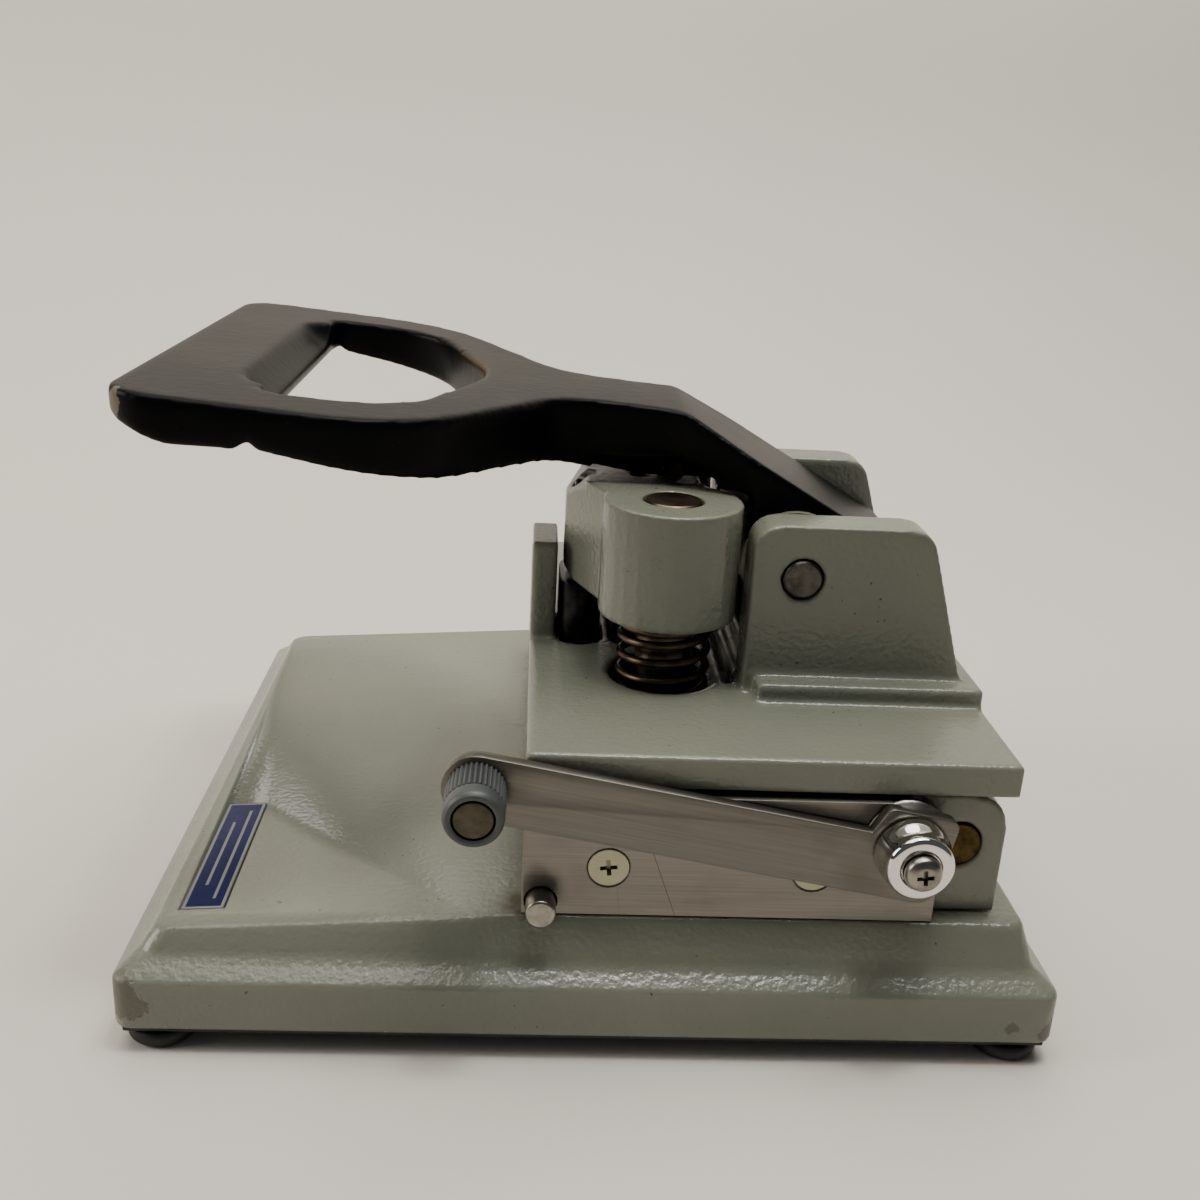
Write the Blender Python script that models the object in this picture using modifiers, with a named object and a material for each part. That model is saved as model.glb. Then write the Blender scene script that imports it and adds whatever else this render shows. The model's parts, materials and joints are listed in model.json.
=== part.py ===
"""Bench tape splicer for 16 mm cine film.

A hand lever presses a sprung crosshead.  The crosshead carries two blocks of
perforating punches and two trimming knives through the head casting into a
die plate, and a side lever shears the film ends against a fixed blade.

Metres, +Z up.  +X runs from the grip of the hand lever to the back of the
head, -Y is the cutter side, and the feet stand on Z = 0.
"""
import math

import bmesh
import bpy
from mathutils import Vector

# ---------------------------------------------------------------- clearances
SEAM = 0.0003                # between two pieces that rest on each other
RUNNING_FIT = 0.0003         # all round a shaft, pin or rod in its bore
MERGE = 0.00001              # points closer than this become one
ARC_STEPS = 5                # chords in a rounded corner
LOOP_ARC_STEPS = 10          # chords in a corner of the handle's plan
SIDES = 32                   # sides of a large round piece
SMALL_SIDES = 24             # sides of a small round piece
TINY_SIDES = 16              # sides of a screw or its hole
SHARP_ANGLE = math.radians(35)

# ---------------------------------------------------------------- base
BASE_LENGTH = 0.1805         # along X
BASE_WIDTH = 0.167           # along Y
FOOT_HEIGHT = 0.0032
PLATE_THICKNESS = 0.0012     # bottom plate
PLATE_INSET = 0.0015
SKIRT_HEIGHT = 0.0105        # upright rim of the casting
LEDGE_WIDTH = 0.0030         # sloping ledge inside the rim
LEDGE_RISE = 0.0025
DECK_SETBACK = 0.0080        # rim to the edge of the deck, near and far
DECK_SETBACK_END = 0.00695   # rim to the edge of the deck, left and right
DECK_LOW_RISE = 0.0043       # ledge to the deck at its low end
DECK_SLOPE_RISE = 0.0046     # low end to the level part under the block
BASE_CORNER = 0.0036         # larger than the ledge is wide
BASE_WALL = 0.0050
BASE_ROOF = 0.0045
CORNER_BOSS = 0.0165

FOOT_RADIUS = 0.00675
FOOT_INSET_X = 0.00775
FOOT_INSET_Y = 0.0074
FOOT_SCREW_RADIUS = 0.0015
FOOT_SCREW_HEAD = 0.0028
FOOT_SCREW_HEAD_HEIGHT = 0.0016
FOOT_SCREW_LENGTH = 0.0100

LABEL_LENGTH = 0.0420        # along Y
LABEL_WIDTH = 0.0083         # along the slope of the deck
LABEL_THICKNESS = 0.0006
LABEL_FROM_END = 0.0073      # deck's low edge to the label's middle
LABEL_FROM_RIM = 0.0350      # near rim to the label's middle

# ---------------------------------------------------------------- lower block
BLOCK_LEFT_X = -0.0145
BLOCK_RIGHT_X = 0.0785
BLOCK_HEIGHT = 0.0253
BLOCK_SHOULDER = 0.0070      # rounded upper corner at the back
HEAD_FROM_RIM = 0.0755       # near rim to the middle plane of the head

BLADE_THICKNESS = 0.0037
BLADE_LENGTH = 0.0795
BLADE_SCREW_X = (0.0163, 0.0553)      # from the blade's free end
BLADE_SCREW_HEIGHT = 0.0102           # above the blade's lower edge
BLADE_SCREW_HEAD = 0.0040
BLADE_SCREW_SHANK = 0.0020
BLADE_SCREW_LENGTH = 0.0100
STOP_PIN_RADIUS = 0.0029
STOP_PIN_FROM_END = 0.0037
STOP_PIN_HEIGHT = 0.0027
STOP_PIN_PROUD = 0.0050
STOP_PIN_DEPTH = 0.0090

PLUG_RADIUS = 0.0044
PLUG_DEPTH = 0.0080
PLUG_FROM_PIVOT_X = 0.0115
PLUG_BELOW_PIVOT = 0.0026

BLOCK_SCREW_RADIUS = 0.0025
BLOCK_SCREW_HEAD = 0.0043
BLOCK_SCREW_HEAD_HEIGHT = 0.0035
BLOCK_SCREW_GRIP = 0.0120
BLOCK_SCREW_X = (0.0090, 0.0830)      # from the block's left face
BLOCK_SCREW_Y = 0.0470                # either side of the middle plane

# ---------------------------------------------------------------- cutter lever
LEVER_PIVOT_X = 0.0579
LEVER_PIVOT_DROP = 0.0079             # block's top to the pivot
LEVER_THICKNESS = 0.0026
LEVER_REST_ANGLE = math.radians(10.4)
LEVER_REACH = 0.0817                  # pivot to the knob
LEVER_DEPTH = 0.0129                  # width of the cutting bar
LEVER_TOP = 0.0019                    # pivot to the bar's upper edge
LEVER_HUB_TOP = 0.0074
LEVER_HUB_FRONT = 0.0062
LEVER_HUB_BACK = 0.0077
STUD_FLANGE = 0.0083
STUD_RADIUS = 0.0040
STUD_DEPTH = 0.0160
COLLAR_BACK = 0.0072
COLLAR_FRONT = 0.0065
COLLAR_LENGTH = 0.0070
LEVER_SCREW_HEAD = 0.0035
LEVER_SCREW_HEAD_HEIGHT = 0.0023
LEVER_SCREW_SHANK = 0.0018
LEVER_SCREW_LENGTH = 0.0150
KNOB_RADIUS = 0.0056
KNOB_LENGTH = 0.0117
KNOB_STUD_RADIUS = 0.0037

# ---------------------------------------------------------------- head casting
SLOT_HEIGHT = 0.0011                  # film slot between block and head
SLOT_DEPTH = 0.0340                   # film slot, in from the left face
HEAD_OVERHANG = 0.0030                # head past the block's near face
HEAD_PLATE = 0.0067
PAD_HALF_WIDTH = 0.0402
PAD_HEIGHT = 0.0039
PAD_FROM_PIVOT = 0.0080
EAR_INSIDE = 0.0250                   # middle plane to an ear's inner face
EAR_THICKNESS = 0.0102
EAR_FRONT = 0.0105                    # handle pivot to the ear's front edge
EAR_TOP_BACK = 0.0255                 # handle pivot to the ear's upper back corner
EAR_FOOT_BACK = 0.0355
EAR_TOP = 0.0111                      # handle pivot to the ear's top
EAR_CORNER = 0.0055
WELL_FRONT = 0.0175                   # handle pivot to the well's front wall
WELL_MARGIN = 0.0006                  # well to the ears' front edges
WELL_HALF_WIDTH = 0.0300
WELL_DEPTH = 0.0052
TOWER_LENGTH = 0.0056
TOWER_HALF_WIDTH = 0.0082
TOWER_HEIGHT = 0.0223

# ---------------------------------------------------------------- hand lever
PIVOT_X = 0.0400
PIVOT_HEIGHT = 0.0248                 # above the top of the head plate
PIN_RADIUS = 0.00405
PIN_PROUD = 0.0002
HUB_RADIUS = 0.0130
HUB_FRONT = 0.0100                    # handle pivot to the flat front of the hub
HUB_HALF_WIDTH = 0.0228
HUB_SHOULDER = 0.0095                 # pivot to where the hub starts to narrow
HUB_SOLE_END = 0.0050                 # pivot to where the underside of the tail starts
WASHER_RADIUS = 0.0111
WASHER_THICKNESS = 0.0016
TAIL_REACH = 0.0285
TAIL_TOP_DROP = 0.0006                # pivot down to the tail's upper corner
TAIL_SOLE = 0.0080                    # length of the tail that lies on the pad
ARM_HALF_WIDTH = 0.0151
ARM_START = 0.0275                    # pivot to where the arm has its own width
ARM_TOP_END = 0.0235                  # pivot to the bend in the arm's top
ARM_TOP_HEIGHT = 0.0292               # above the pivot at the bend
ARM_UNDERSIDE = 0.0138                # above the pivot
ARM_UNDERSIDE_END = 0.0315            # pivot to where the underside starts to rise
ARM_CHAMFER = 0.0068
ARM_CHAMFER_LENGTH = 0.0260
ARM_CHAMFER_MIDDLE = 0.0295           # pivot to the middle of the chamfer
LOOP_HALF_WIDTH = 0.0617
LOOP_NECK = 0.0488                    # pivot to where the arm opens into the loop
LOOP_NECK_RADIUS = 0.0160
LOOP_REACH = 0.0775                   # pivot to the loop's full width
LOOP_RADIUS = 0.0300
RAIL_BEND = 0.0555                    # pivot to the first bend under the loop
RAIL_BEND_HEIGHT = 0.0193
RAIL_RISE = 0.0715                    # pivot to the second bend under the loop
RAIL_RISE_HEIGHT = 0.0219
GRIP_REACH = 0.1288                   # pivot to the end of the grip
GRIP_CORNER = 0.0090
GRIP_INNER = 0.1050                   # pivot to the grip's inner wall
GRIP_TOP_HEIGHT = 0.0381              # above the pivot at the grip's end
GRIP_DEPTH = 0.0098
GRIP_NOSE_DEPTH = 0.0050              # grip's top to its lower front corner
GRIP_SOLE_FRONT = 0.0105              # end of the grip to where its underside starts
GRIP_SOLE_RISE = 0.0004
NOTCH_DEPTH = 0.0017                  # notch across the underside, below the inner wall
NOTCH_FRONT = 0.0012                  # inner wall to the notch's edge on the grip
NOTCH_PEAK = 0.0010                   # inner wall to the top of the notch
NOTCH_BACK = 0.0025                   # inner wall to the notch's edge on the rails
OPENING_HALF_WIDTH = 0.0463
OPENING_CORNER = 0.0040
OPENING_SHOULDER = 0.0796             # pivot to where the opening starts to close
OPENING_SHOULDER_RADIUS = 0.0200
OPENING_TIP = 0.0645                  # pivot to where the opening's sides meet
OPENING_TIP_RADIUS = 0.0300
FINGER_RADIUS = 0.0100
FINGER_HALF_LENGTH = 0.0420
FINGER_ABOVE_GRIP = 0.0023            # grip's top to the axis of the finger hollow
FINGER_BEHIND_WALL = 0.0040           # inner wall to the axis of the finger hollow
BLEND_SHARP = 0.0006                  # corner radii of the handle's side view
BLEND_SMALL = 0.0025
BLEND_MEDIUM = 0.0100
BLEND_LARGE = 0.0200

ROLLER_BACK = 0.0252                  # pivot to the roller's axis
ROLLER_RADIUS = 0.0040
ROLLER_HALF_WIDTH = 0.0050
ROLLER_SLOT = 0.0008
ROLLER_PIN_RADIUS = 0.0020

# ---------------------------------------------------------------- crosshead
CROSSHEAD_X = 0.0138
BOSS_RADIUS = 0.0144
BOSS_PITCH = 0.0255                   # middle plane to a boss's axis
BOSS_BOTTOM = 0.0137                  # above the top of the head plate
BOSS_HEIGHT = 0.0243
BRIDGE_DROP = 0.0013                  # boss tops to the bridge's top
NOSE_FRONT = 0.0213                   # boss axis line to the nose
NOSE_HALF_WIDTH = 0.0030
BRIDGE_BACK = 0.0082
NOSE_CHAMFER = 0.0028
NOSE_TOP_SLOPE = 0.0060
ROD_RADIUS = 0.0060
ROD_LENGTH = 0.0620
BUSH_WALL = 0.0020
BUSH_LENGTH = 0.0200
SPRING_RADIUS = 0.0091                # to the middle of the wire
SPRING_WIRE = 0.0009                  # radius
SPRING_TURNS = 5
SPRING_END_PITCH = 0.0021
SPRING_SEAT_RADIUS = 0.0113
SPRING_SEAT_DEPTH = 0.0048
SPRING_POINTS = 14                    # points in a turn

PUNCH_ROW_FRONT = 0.0173              # boss axis line to the front row
PUNCH_ROW_PITCH = 0.0123              # between the two rows of film holes
PUNCH_PITCH = 0.00762                 # between film holes along the film
PUNCH_LENGTH_X = 0.0018
PUNCH_LENGTH_Y = 0.0013
PUNCH_CLEARANCE = 0.0002
PUNCH_BLOCK_RADIUS = 0.00475
PUNCH_BLOCK_HALF = 0.0055             # middle plane to the centre of its round end
PUNCH_BLOCK_TOP_GAP = 0.0003
STRIPPER_THICKNESS = 0.0014
KNIFE_THICKNESS = 0.0008
KNIFE_HALF_LENGTH = 0.0070
KNIFE_OUT = 0.0029                    # punch row to the knife
DIE_MARGIN = 0.0060
DIE_THICKNESS = 0.0050
CLAMP_SCREW_RADIUS = 0.0015
CLAMP_SCREW_HEAD = 0.0021
CLAMP_SCREW_HEAD_HEIGHT = 0.0025
CLAMP_SCREW_SUNK = 0.0040             # bridge top to the screw's seat
STROKE = 0.0046

# ---------------------------------------------------------------- derived places
KNOB_PROUD = KNOB_LENGTH + SEAM + LEVER_THICKNESS + SEAM - DECK_SETBACK
NEAR_Y = (KNOB_PROUD - BASE_WIDTH) / 2
FAR_Y = NEAR_Y + BASE_WIDTH
HEAD_Y = NEAR_Y + HEAD_FROM_RIM
BLADE_FACE_Y = NEAR_Y + DECK_SETBACK
BLOCK_NEAR_Y = BLADE_FACE_Y + BLADE_THICKNESS + SEAM
BLOCK_FAR_Y = 2 * HEAD_Y - BLOCK_NEAR_Y + HEAD_OVERHANG
HEAD_NEAR_Y = BLOCK_NEAR_Y - HEAD_OVERHANG
HEAD_FAR_Y = BLOCK_FAR_Y

PLATE_BOTTOM_Z = FOOT_HEIGHT + SEAM
RIM_Z = PLATE_BOTTOM_Z + PLATE_THICKNESS + SEAM
RIM_TOP_Z = RIM_Z + SKIRT_HEIGHT
LEDGE_Z = RIM_TOP_Z + LEDGE_RISE
DECK_LOW_Z = LEDGE_Z + DECK_LOW_RISE
DECK_Z = DECK_LOW_Z + DECK_SLOPE_RISE
DECK_LEFT_X = DECK_SETBACK_END - BASE_LENGTH / 2
ROOF_Z = DECK_LOW_Z - BASE_ROOF

BLOCK_BOTTOM_Z = DECK_Z + SEAM
BLOCK_TOP_Z = BLOCK_BOTTOM_Z + BLOCK_HEIGHT
HEAD_BOTTOM_Z = BLOCK_TOP_Z + SLOT_HEIGHT
HEAD_TOP_Z = HEAD_BOTTOM_Z + HEAD_PLATE
PAD_TOP_Z = HEAD_TOP_Z + PAD_HEIGHT
PIVOT_Z = HEAD_TOP_Z + PIVOT_HEIGHT
BLADE_BOTTOM_Z = BLOCK_BOTTOM_Z
LEVER_PIVOT_Z = BLOCK_TOP_Z - LEVER_PIVOT_DROP
BOSS_BOTTOM_Z = HEAD_TOP_Z + BOSS_BOTTOM
BOSS_TOP_Z = BOSS_BOTTOM_Z + BOSS_HEIGHT
BRIDGE_TOP_Z = BOSS_TOP_Z - BRIDGE_DROP
SPRING_SEAT_Z = HEAD_TOP_Z - SPRING_SEAT_DEPTH
PUNCH_BLOCK_TOP_Z = BOSS_BOTTOM_Z - PUNCH_BLOCK_TOP_GAP
STRIPPER_TOP_Z = HEAD_BOTTOM_Z + STRIPPER_THICKNESS
PUNCH_BLOCK_BOTTOM_Z = STRIPPER_TOP_Z + STROKE + SEAM
PUNCH_TIP_Z = HEAD_BOTTOM_Z + SEAM
ROLLER_Z = BRIDGE_TOP_Z + SEAM + ROLLER_RADIUS

THROUGH = 0.002                       # how far a cutter runs past the face it cuts

# ---------------------------------------------------------------- materials
PAINT = ("grey_green_paint", (0.43, 0.46, 0.37, 1.0), 0.42, 0.0)
BLACK_PAINT = ("black_paint", (0.012, 0.013, 0.015, 1.0), 0.30, 0.0)
BRUSHED = ("brushed_steel", (0.42, 0.39, 0.36, 1.0), 0.38, 1.0)
TURNED = ("turned_steel", (0.50, 0.48, 0.45, 1.0), 0.28, 1.0)
DARK_STEEL = ("dark_steel", (0.10, 0.075, 0.06, 1.0), 0.35, 1.0)
CHROME = ("chrome", (0.72, 0.72, 0.72, 1.0), 0.08, 1.0)
BRASS = ("brass", (0.33, 0.24, 0.10, 1.0), 0.38, 1.0)
RUBBER = ("black_rubber", (0.015, 0.016, 0.018, 1.0), 0.65, 0.0)
KNOB_PLASTIC = ("grey_knob", (0.16, 0.18, 0.20, 1.0), 0.45, 0.0)
CREAM_PLATING = ("cream_plating", (0.60, 0.57, 0.42, 1.0), 0.35, 1.0)
LABEL_INK = ("label_face", (0.03, 0.06, 0.28, 1.0), 0.35, 0.0)
BRONZE = ("bronze", (0.45, 0.28, 0.12, 1.0), 0.35, 1.0)

AXIS_TURN = {
    "Z": (0.0, 0.0, 0.0),
    "Y": (math.pi / 2, 0.0, 0.0),     # local +Z points to -Y
}


# ---------------------------------------------------------------- scene helpers
def clear_scene():
    """Remove every object, so that the script can run again in an open file."""
    for leftover in list(bpy.data.objects):
        bpy.data.objects.remove(leftover, do_unlink=True)


def new_collection(name):
    collection = bpy.data.collections.new(name)
    bpy.context.scene.collection.children.link(collection)
    return collection


def finish_material(look):
    """Return the Principled material for one of the looks named above."""
    name, colour, roughness, metallic = look
    surface = bpy.data.materials.get(name)
    if surface is None:
        surface = bpy.data.materials.new(name)
        surface.use_nodes = True
        shader = surface.node_tree.nodes["Principled BSDF"]
        shader.inputs["Base Color"].default_value = colour
        shader.inputs["Roughness"].default_value = roughness
        shader.inputs["Metallic"].default_value = metallic
        surface.diffuse_color = colour
    return surface


clear_scene()
PARTS = new_collection("tape_splicer")
CUTTERS = new_collection("cutters")


def place(name, data, look=None, at=(0.0, 0.0, 0.0), turn=(0.0, 0.0, 0.0), parent=None):
    """Make an object: a part when it has a look, a hidden cutter when it has none."""
    item = bpy.data.objects.new(name, data)
    item.location = at
    item.rotation_euler = turn
    item.parent = parent
    if look is None:
        item.hide_render = True
        item.display_type = "WIRE"
        CUTTERS.objects.link(item)
    else:
        data.materials.append(finish_material(look))
        PARTS.objects.link(item)
    return item


def pivot_empty(name, at, turn=(0.0, 0.0, 0.0)):
    """An empty on a joint's axis, which carries the pieces that move with it."""
    empty = bpy.data.objects.new(name, None)
    empty.location = at
    empty.rotation_euler = turn
    PARTS.objects.link(empty)
    return empty


def to_mesh(name, shape):
    """Turn a bmesh into mesh data with smooth round sides."""
    mesh = bpy.data.meshes.new(name)
    shape.to_mesh(mesh)
    shape.free()
    mesh.shade_smooth()
    mesh.set_sharp_from_angle(angle=SHARP_ANGLE)
    return mesh


def box(name, size, at, look=None, turn=(0.0, 0.0, 0.0), parent=None):
    """A box of the given size, centred on its origin."""
    shape = bmesh.new()
    bmesh.ops.create_cube(shape, size=1.0)
    bmesh.ops.scale(shape, vec=Vector(size), verts=shape.verts)
    return place(name, to_mesh(name, shape), look, at, turn, parent)


def span_box(name, low, high, look=None, parent=None):
    """A box between two opposite corners."""
    low, high = Vector(low), Vector(high)
    return box(name, high - low, (low + high) / 2, look, parent=parent)


def rod(name, radius, length, at, axis="Z", look=None, sides=SIDES, parent=None):
    """A round bar centred on its origin, along Z or Y."""
    shape = bmesh.new()
    bmesh.ops.create_cone(shape, cap_ends=True, segments=sides, radius1=radius, radius2=radius, depth=length)
    return place(name, to_mesh(name, shape), look, at, AXIS_TURN[axis], parent)


def turned(name, profile, at, axis="Z", look=None, sides=SIDES, parent=None):
    """Turn a profile of (radius, height) points, given from top to bottom, about its axis."""
    mesh = bpy.data.meshes.new(name)
    points = [(radius, 0.0, height) for radius, height in profile]
    edges = [(index, index + 1) for index in range(len(points) - 1)]
    mesh.from_pydata(points, edges, [])
    item = place(name, mesh, look, at, AXIS_TURN[axis], parent)
    screw = item.modifiers.new("turn", "SCREW")
    screw.steps = sides
    screw.render_steps = sides
    screw.use_merge_vertices = True
    screw.merge_threshold = MERGE
    screw.use_smooth_shade = True
    return item


def rounded(corners, steps=ARC_STEPS):
    """Outline through (x, y, radius) corners, each radius turned into an arc."""
    points = []
    for index, (x, y, radius) in enumerate(corners):
        corner = Vector((x, y))
        if radius == 0:
            points.append(corner)
            continue
        before = (Vector(corners[index - 1][:2]) - corner).normalized()
        after = (Vector(corners[(index + 1) % len(corners)][:2]) - corner).normalized()
        half = before.angle(after) / 2
        centre = corner + (before + after).normalized() * radius / math.sin(half)
        start = corner + before * radius / math.tan(half) - centre
        end = corner + after * radius / math.tan(half) - centre
        first = math.atan2(start.y, start.x)
        sweep = (math.atan2(end.y, end.x) - first + math.pi) % math.tau - math.pi
        for step in range(steps + 1):
            angle = first + sweep * step / steps
            points.append(centre + radius * Vector((math.cos(angle), math.sin(angle))))
    return points


def flat_piece(name, outlines, thickness, at, look=None, turn=(0.0, 0.0, 0.0), parent=None):
    """A plate cut to one or more closed outlines in its XY plane, made a mesh."""
    curve = bpy.data.curves.new(name, "CURVE")
    curve.dimensions = "2D"
    curve.fill_mode = "BOTH"
    curve.extrude = thickness / 2
    for outline in outlines:
        spline = curve.splines.new("POLY")
        spline.points.add(len(outline) - 1)
        for point, (x, y) in zip(spline.points, outline):
            point.co = (x, y, 0.0, 1.0)
        spline.use_cyclic_u = True
    guide = bpy.data.objects.new(name + "_outline", curve)
    CUTTERS.objects.link(guide)
    bpy.context.view_layer.update()
    solid = bpy.data.meshes.new_from_object(guide.evaluated_get(bpy.context.evaluated_depsgraph_get()))
    bpy.data.objects.remove(guide, do_unlink=True)
    shape = bmesh.new()
    shape.from_mesh(solid)
    bpy.data.meshes.remove(solid)
    bmesh.ops.remove_doubles(shape, verts=shape.verts, dist=MERGE)
    bmesh.ops.recalc_face_normals(shape, faces=shape.faces)
    return place(name, to_mesh(name, shape), look, at, turn, parent)


def combine(target, tool, operation):
    """Add one Boolean modifier to target."""
    step = target.modifiers.new(tool.name, "BOOLEAN")
    step.operation = operation
    step.solver = "EXACT"
    step.object = tool
    return target


def cut(target, *tools):
    for tool in tools:
        combine(target, tool, "DIFFERENCE")
    return target


def join(target, *tools):
    for tool in tools:
        combine(target, tool, "UNION")
    return target


def screw_profile(head, head_height, shank, length):
    """Cheese-head screw, head up: (radius, height) points with the seat at zero."""
    bevel = head_height / 4
    return [
        (0.0, head_height),
        (head - bevel, head_height),
        (head, head_height - bevel),
        (head, 0.0),
        (shank, 0.0),
        (shank, -length),
        (0.0, -length),
    ]


# ---------------------------------------------------------------- base
def deck_height(x):
    """Height of the deck's surface at x: a slope up to the block, then level."""
    share = min(max((x - DECK_LEFT_X) / (BLOCK_LEFT_X - DECK_LEFT_X), 0.0), 1.0)
    return DECK_LOW_Z + share * DECK_SLOPE_RISE


def make_base():
    """Casting with an upright rim, a sloping ledge and a deck that rises to the block."""
    shape = bmesh.new()
    bmesh.ops.create_cube(shape, size=1.0)
    bmesh.ops.scale(shape, vec=(BASE_LENGTH, BASE_WIDTH, SKIRT_HEIGHT), verts=shape.verts)
    centre_z = RIM_Z + SKIRT_HEIGHT / 2
    uprights = [
        edge for edge in shape.edges if abs(edge.verts[0].co.z - edge.verts[1].co.z) > SKIRT_HEIGHT / 2
    ]
    bmesh.ops.bevel(
        shape, geom=uprights, offset=BASE_CORNER, affect="EDGES", segments=2, profile=0.5, material=-1
    )
    top = max(shape.faces, key=lambda face: face.calc_center_median().z)
    bmesh.ops.inset_region(shape, faces=[top], thickness=LEDGE_WIDTH, depth=0.0, use_even_offset=True)
    for vertex in top.verts:
        vertex.co.z += LEDGE_RISE
    raised = bmesh.ops.extrude_face_region(shape, geom=[top])
    shape.faces.remove(top)
    deck = [item for item in raised["geom"] if isinstance(item, bmesh.types.BMVert)]
    shrink_x = (BASE_LENGTH - 2 * DECK_SETBACK_END) / (BASE_LENGTH - 2 * LEDGE_WIDTH)
    shrink_y = (BASE_WIDTH - 2 * DECK_SETBACK) / (BASE_WIDTH - 2 * LEDGE_WIDTH)
    for vertex in deck:
        vertex.co.x *= shrink_x
        vertex.co.y *= shrink_y
        vertex.co.z = DECK_Z - centre_z
    bmesh.ops.bisect_plane(
        shape, geom=shape.verts[:] + shape.edges[:] + shape.faces[:],
        plane_co=(BLOCK_LEFT_X, 0.0, 0.0), plane_no=(1.0, 0.0, 0.0), dist=MERGE,
    )
    top_z = DECK_Z - centre_z
    for vertex in shape.verts:
        if abs(vertex.co.z - top_z) < SEAM:
            vertex.co.z = deck_height(vertex.co.x) - centre_z
    middle_y = (NEAR_Y + FAR_Y) / 2
    base = place("base_casting", to_mesh("base_casting", shape), PAINT, (0.0, middle_y, centre_z))
    cavity_height = ROOF_Z - RIM_Z + THROUGH
    cavity_z = ROOF_Z - cavity_height / 2
    wide = (BASE_LENGTH - 2 * BASE_WALL, BASE_WIDTH - 2 * CORNER_BOSS, cavity_height)
    deep = (BASE_LENGTH - 2 * CORNER_BOSS, BASE_WIDTH - 2 * BASE_WALL, cavity_height)
    hollow = box("base_hollow_wide", wide, (0.0, middle_y, cavity_z))
    cut(base, hollow, box("base_hollow_deep", deep, (0.0, middle_y, cavity_z)))
    return base


def label_frame():
    """Middle of the label on the sloping deck, and the deck's tilt."""
    x = DECK_LEFT_X + LABEL_FROM_END
    tilt = math.atan2(DECK_SLOPE_RISE, BLOCK_LEFT_X - DECK_LEFT_X)
    return Vector((x, NEAR_Y + LABEL_FROM_RIM, deck_height(x))), tilt


def make_label(base):
    """Name plate let into the deck, and the recess that it lies in."""
    centre, tilt = label_frame()
    size = (LABEL_WIDTH, LABEL_LENGTH, LABEL_THICKNESS)
    normal = Vector((-math.sin(tilt), 0.0, math.cos(tilt)))
    turn = (0.0, -tilt, 0.0)
    box("label_plate", size, centre - normal * LABEL_THICKNESS / 2, LABEL_INK, turn)
    recess = (LABEL_WIDTH + 2 * SEAM, LABEL_LENGTH + 2 * SEAM, 2 * (LABEL_THICKNESS + SEAM))
    cut(base, box("label_recess", recess, centre, turn=turn))


def corner_places():
    """Middle of each foot, with the name of its corner."""
    reach_x = BASE_LENGTH / 2 - FOOT_INSET_X
    for side_name, y in (("near", NEAR_Y + FOOT_INSET_Y), ("far", FAR_Y - FOOT_INSET_Y)):
        for end_name, x in (("left", -reach_x), ("right", reach_x)):
            yield side_name + "_" + end_name, x, y


def make_bottom(base):
    """Bottom plate, rubber feet and the screws that hold both to the casting."""
    size = (BASE_LENGTH - 2 * PLATE_INSET, BASE_WIDTH - 2 * PLATE_INSET, PLATE_THICKNESS)
    plate_z = PLATE_BOTTOM_Z + PLATE_THICKNESS / 2
    plate = box("bottom_plate", size, (0.0, (NEAR_Y + FAR_Y) / 2, plate_z), BLACK_PAINT)
    seat_z = FOOT_SCREW_HEAD_HEIGHT + 3 * SEAM
    bore = FOOT_SCREW_RADIUS + RUNNING_FIT
    for corner, x, y in corner_places():
        edge = FOOT_HEIGHT / 4
        foot = turned(
            "foot_" + corner,
            [
                (bore, FOOT_HEIGHT),
                (FOOT_RADIUS, FOOT_HEIGHT),
                (FOOT_RADIUS, edge),
                (FOOT_RADIUS - edge, 0.0),
                (FOOT_SCREW_HEAD + RUNNING_FIT, 0.0),
                (FOOT_SCREW_HEAD + RUNNING_FIT, seat_z - SEAM),
                (bore, seat_z - SEAM),
                (bore, FOOT_HEIGHT),
            ],
            (x, y, 0.0), look=RUBBER, sides=SMALL_SIDES,
        )
        foot.modifiers["turn"].use_smooth_shade = False
        screw = turned(
            "foot_screw_" + corner,
            screw_profile(FOOT_SCREW_HEAD, FOOT_SCREW_HEAD_HEIGHT, FOOT_SCREW_RADIUS, FOOT_SCREW_LENGTH),
            (x, y, seat_z - 2 * SEAM), look=TURNED, sides=TINY_SIDES,
        )
        screw.rotation_euler = (math.pi, 0.0, 0.0)
        hole_top = seat_z + FOOT_SCREW_LENGTH + SEAM
        hole = rod("foot_hole_" + corner, bore, 2 * hole_top, (x, y, 0.0), sides=TINY_SIDES)
        cut(plate, hole)
        cut(base, hole)


# ---------------------------------------------------------------- lower block
def guide_places():
    """Axis of each guide rod, with its name."""
    yield "near", HEAD_Y - BOSS_PITCH
    yield "far", HEAD_Y + BOSS_PITCH


def block_screw_places():
    for side_name, y in (("near", HEAD_Y - BLOCK_SCREW_Y), ("far", HEAD_Y + BLOCK_SCREW_Y)):
        for end_name, offset in (("left", BLOCK_SCREW_X[0]), ("right", BLOCK_SCREW_X[1])):
            yield side_name + "_" + end_name, BLOCK_LEFT_X + offset, y


def punch_rows():
    """X of each row of film holes, with its name and the side that its knife is on."""
    front = CROSSHEAD_X - PUNCH_ROW_FRONT
    yield "front", front, -1
    yield "back", front + PUNCH_ROW_PITCH, 1


def punch_places():
    for row, x, _ in punch_rows():
        for number in (1, 2, 3):
            yield row + "_" + str(number), x, HEAD_Y + (number - 2) * PUNCH_PITCH


def knife_places():
    for row, x, side in punch_rows():
        yield row, x + side * KNIFE_OUT


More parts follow.
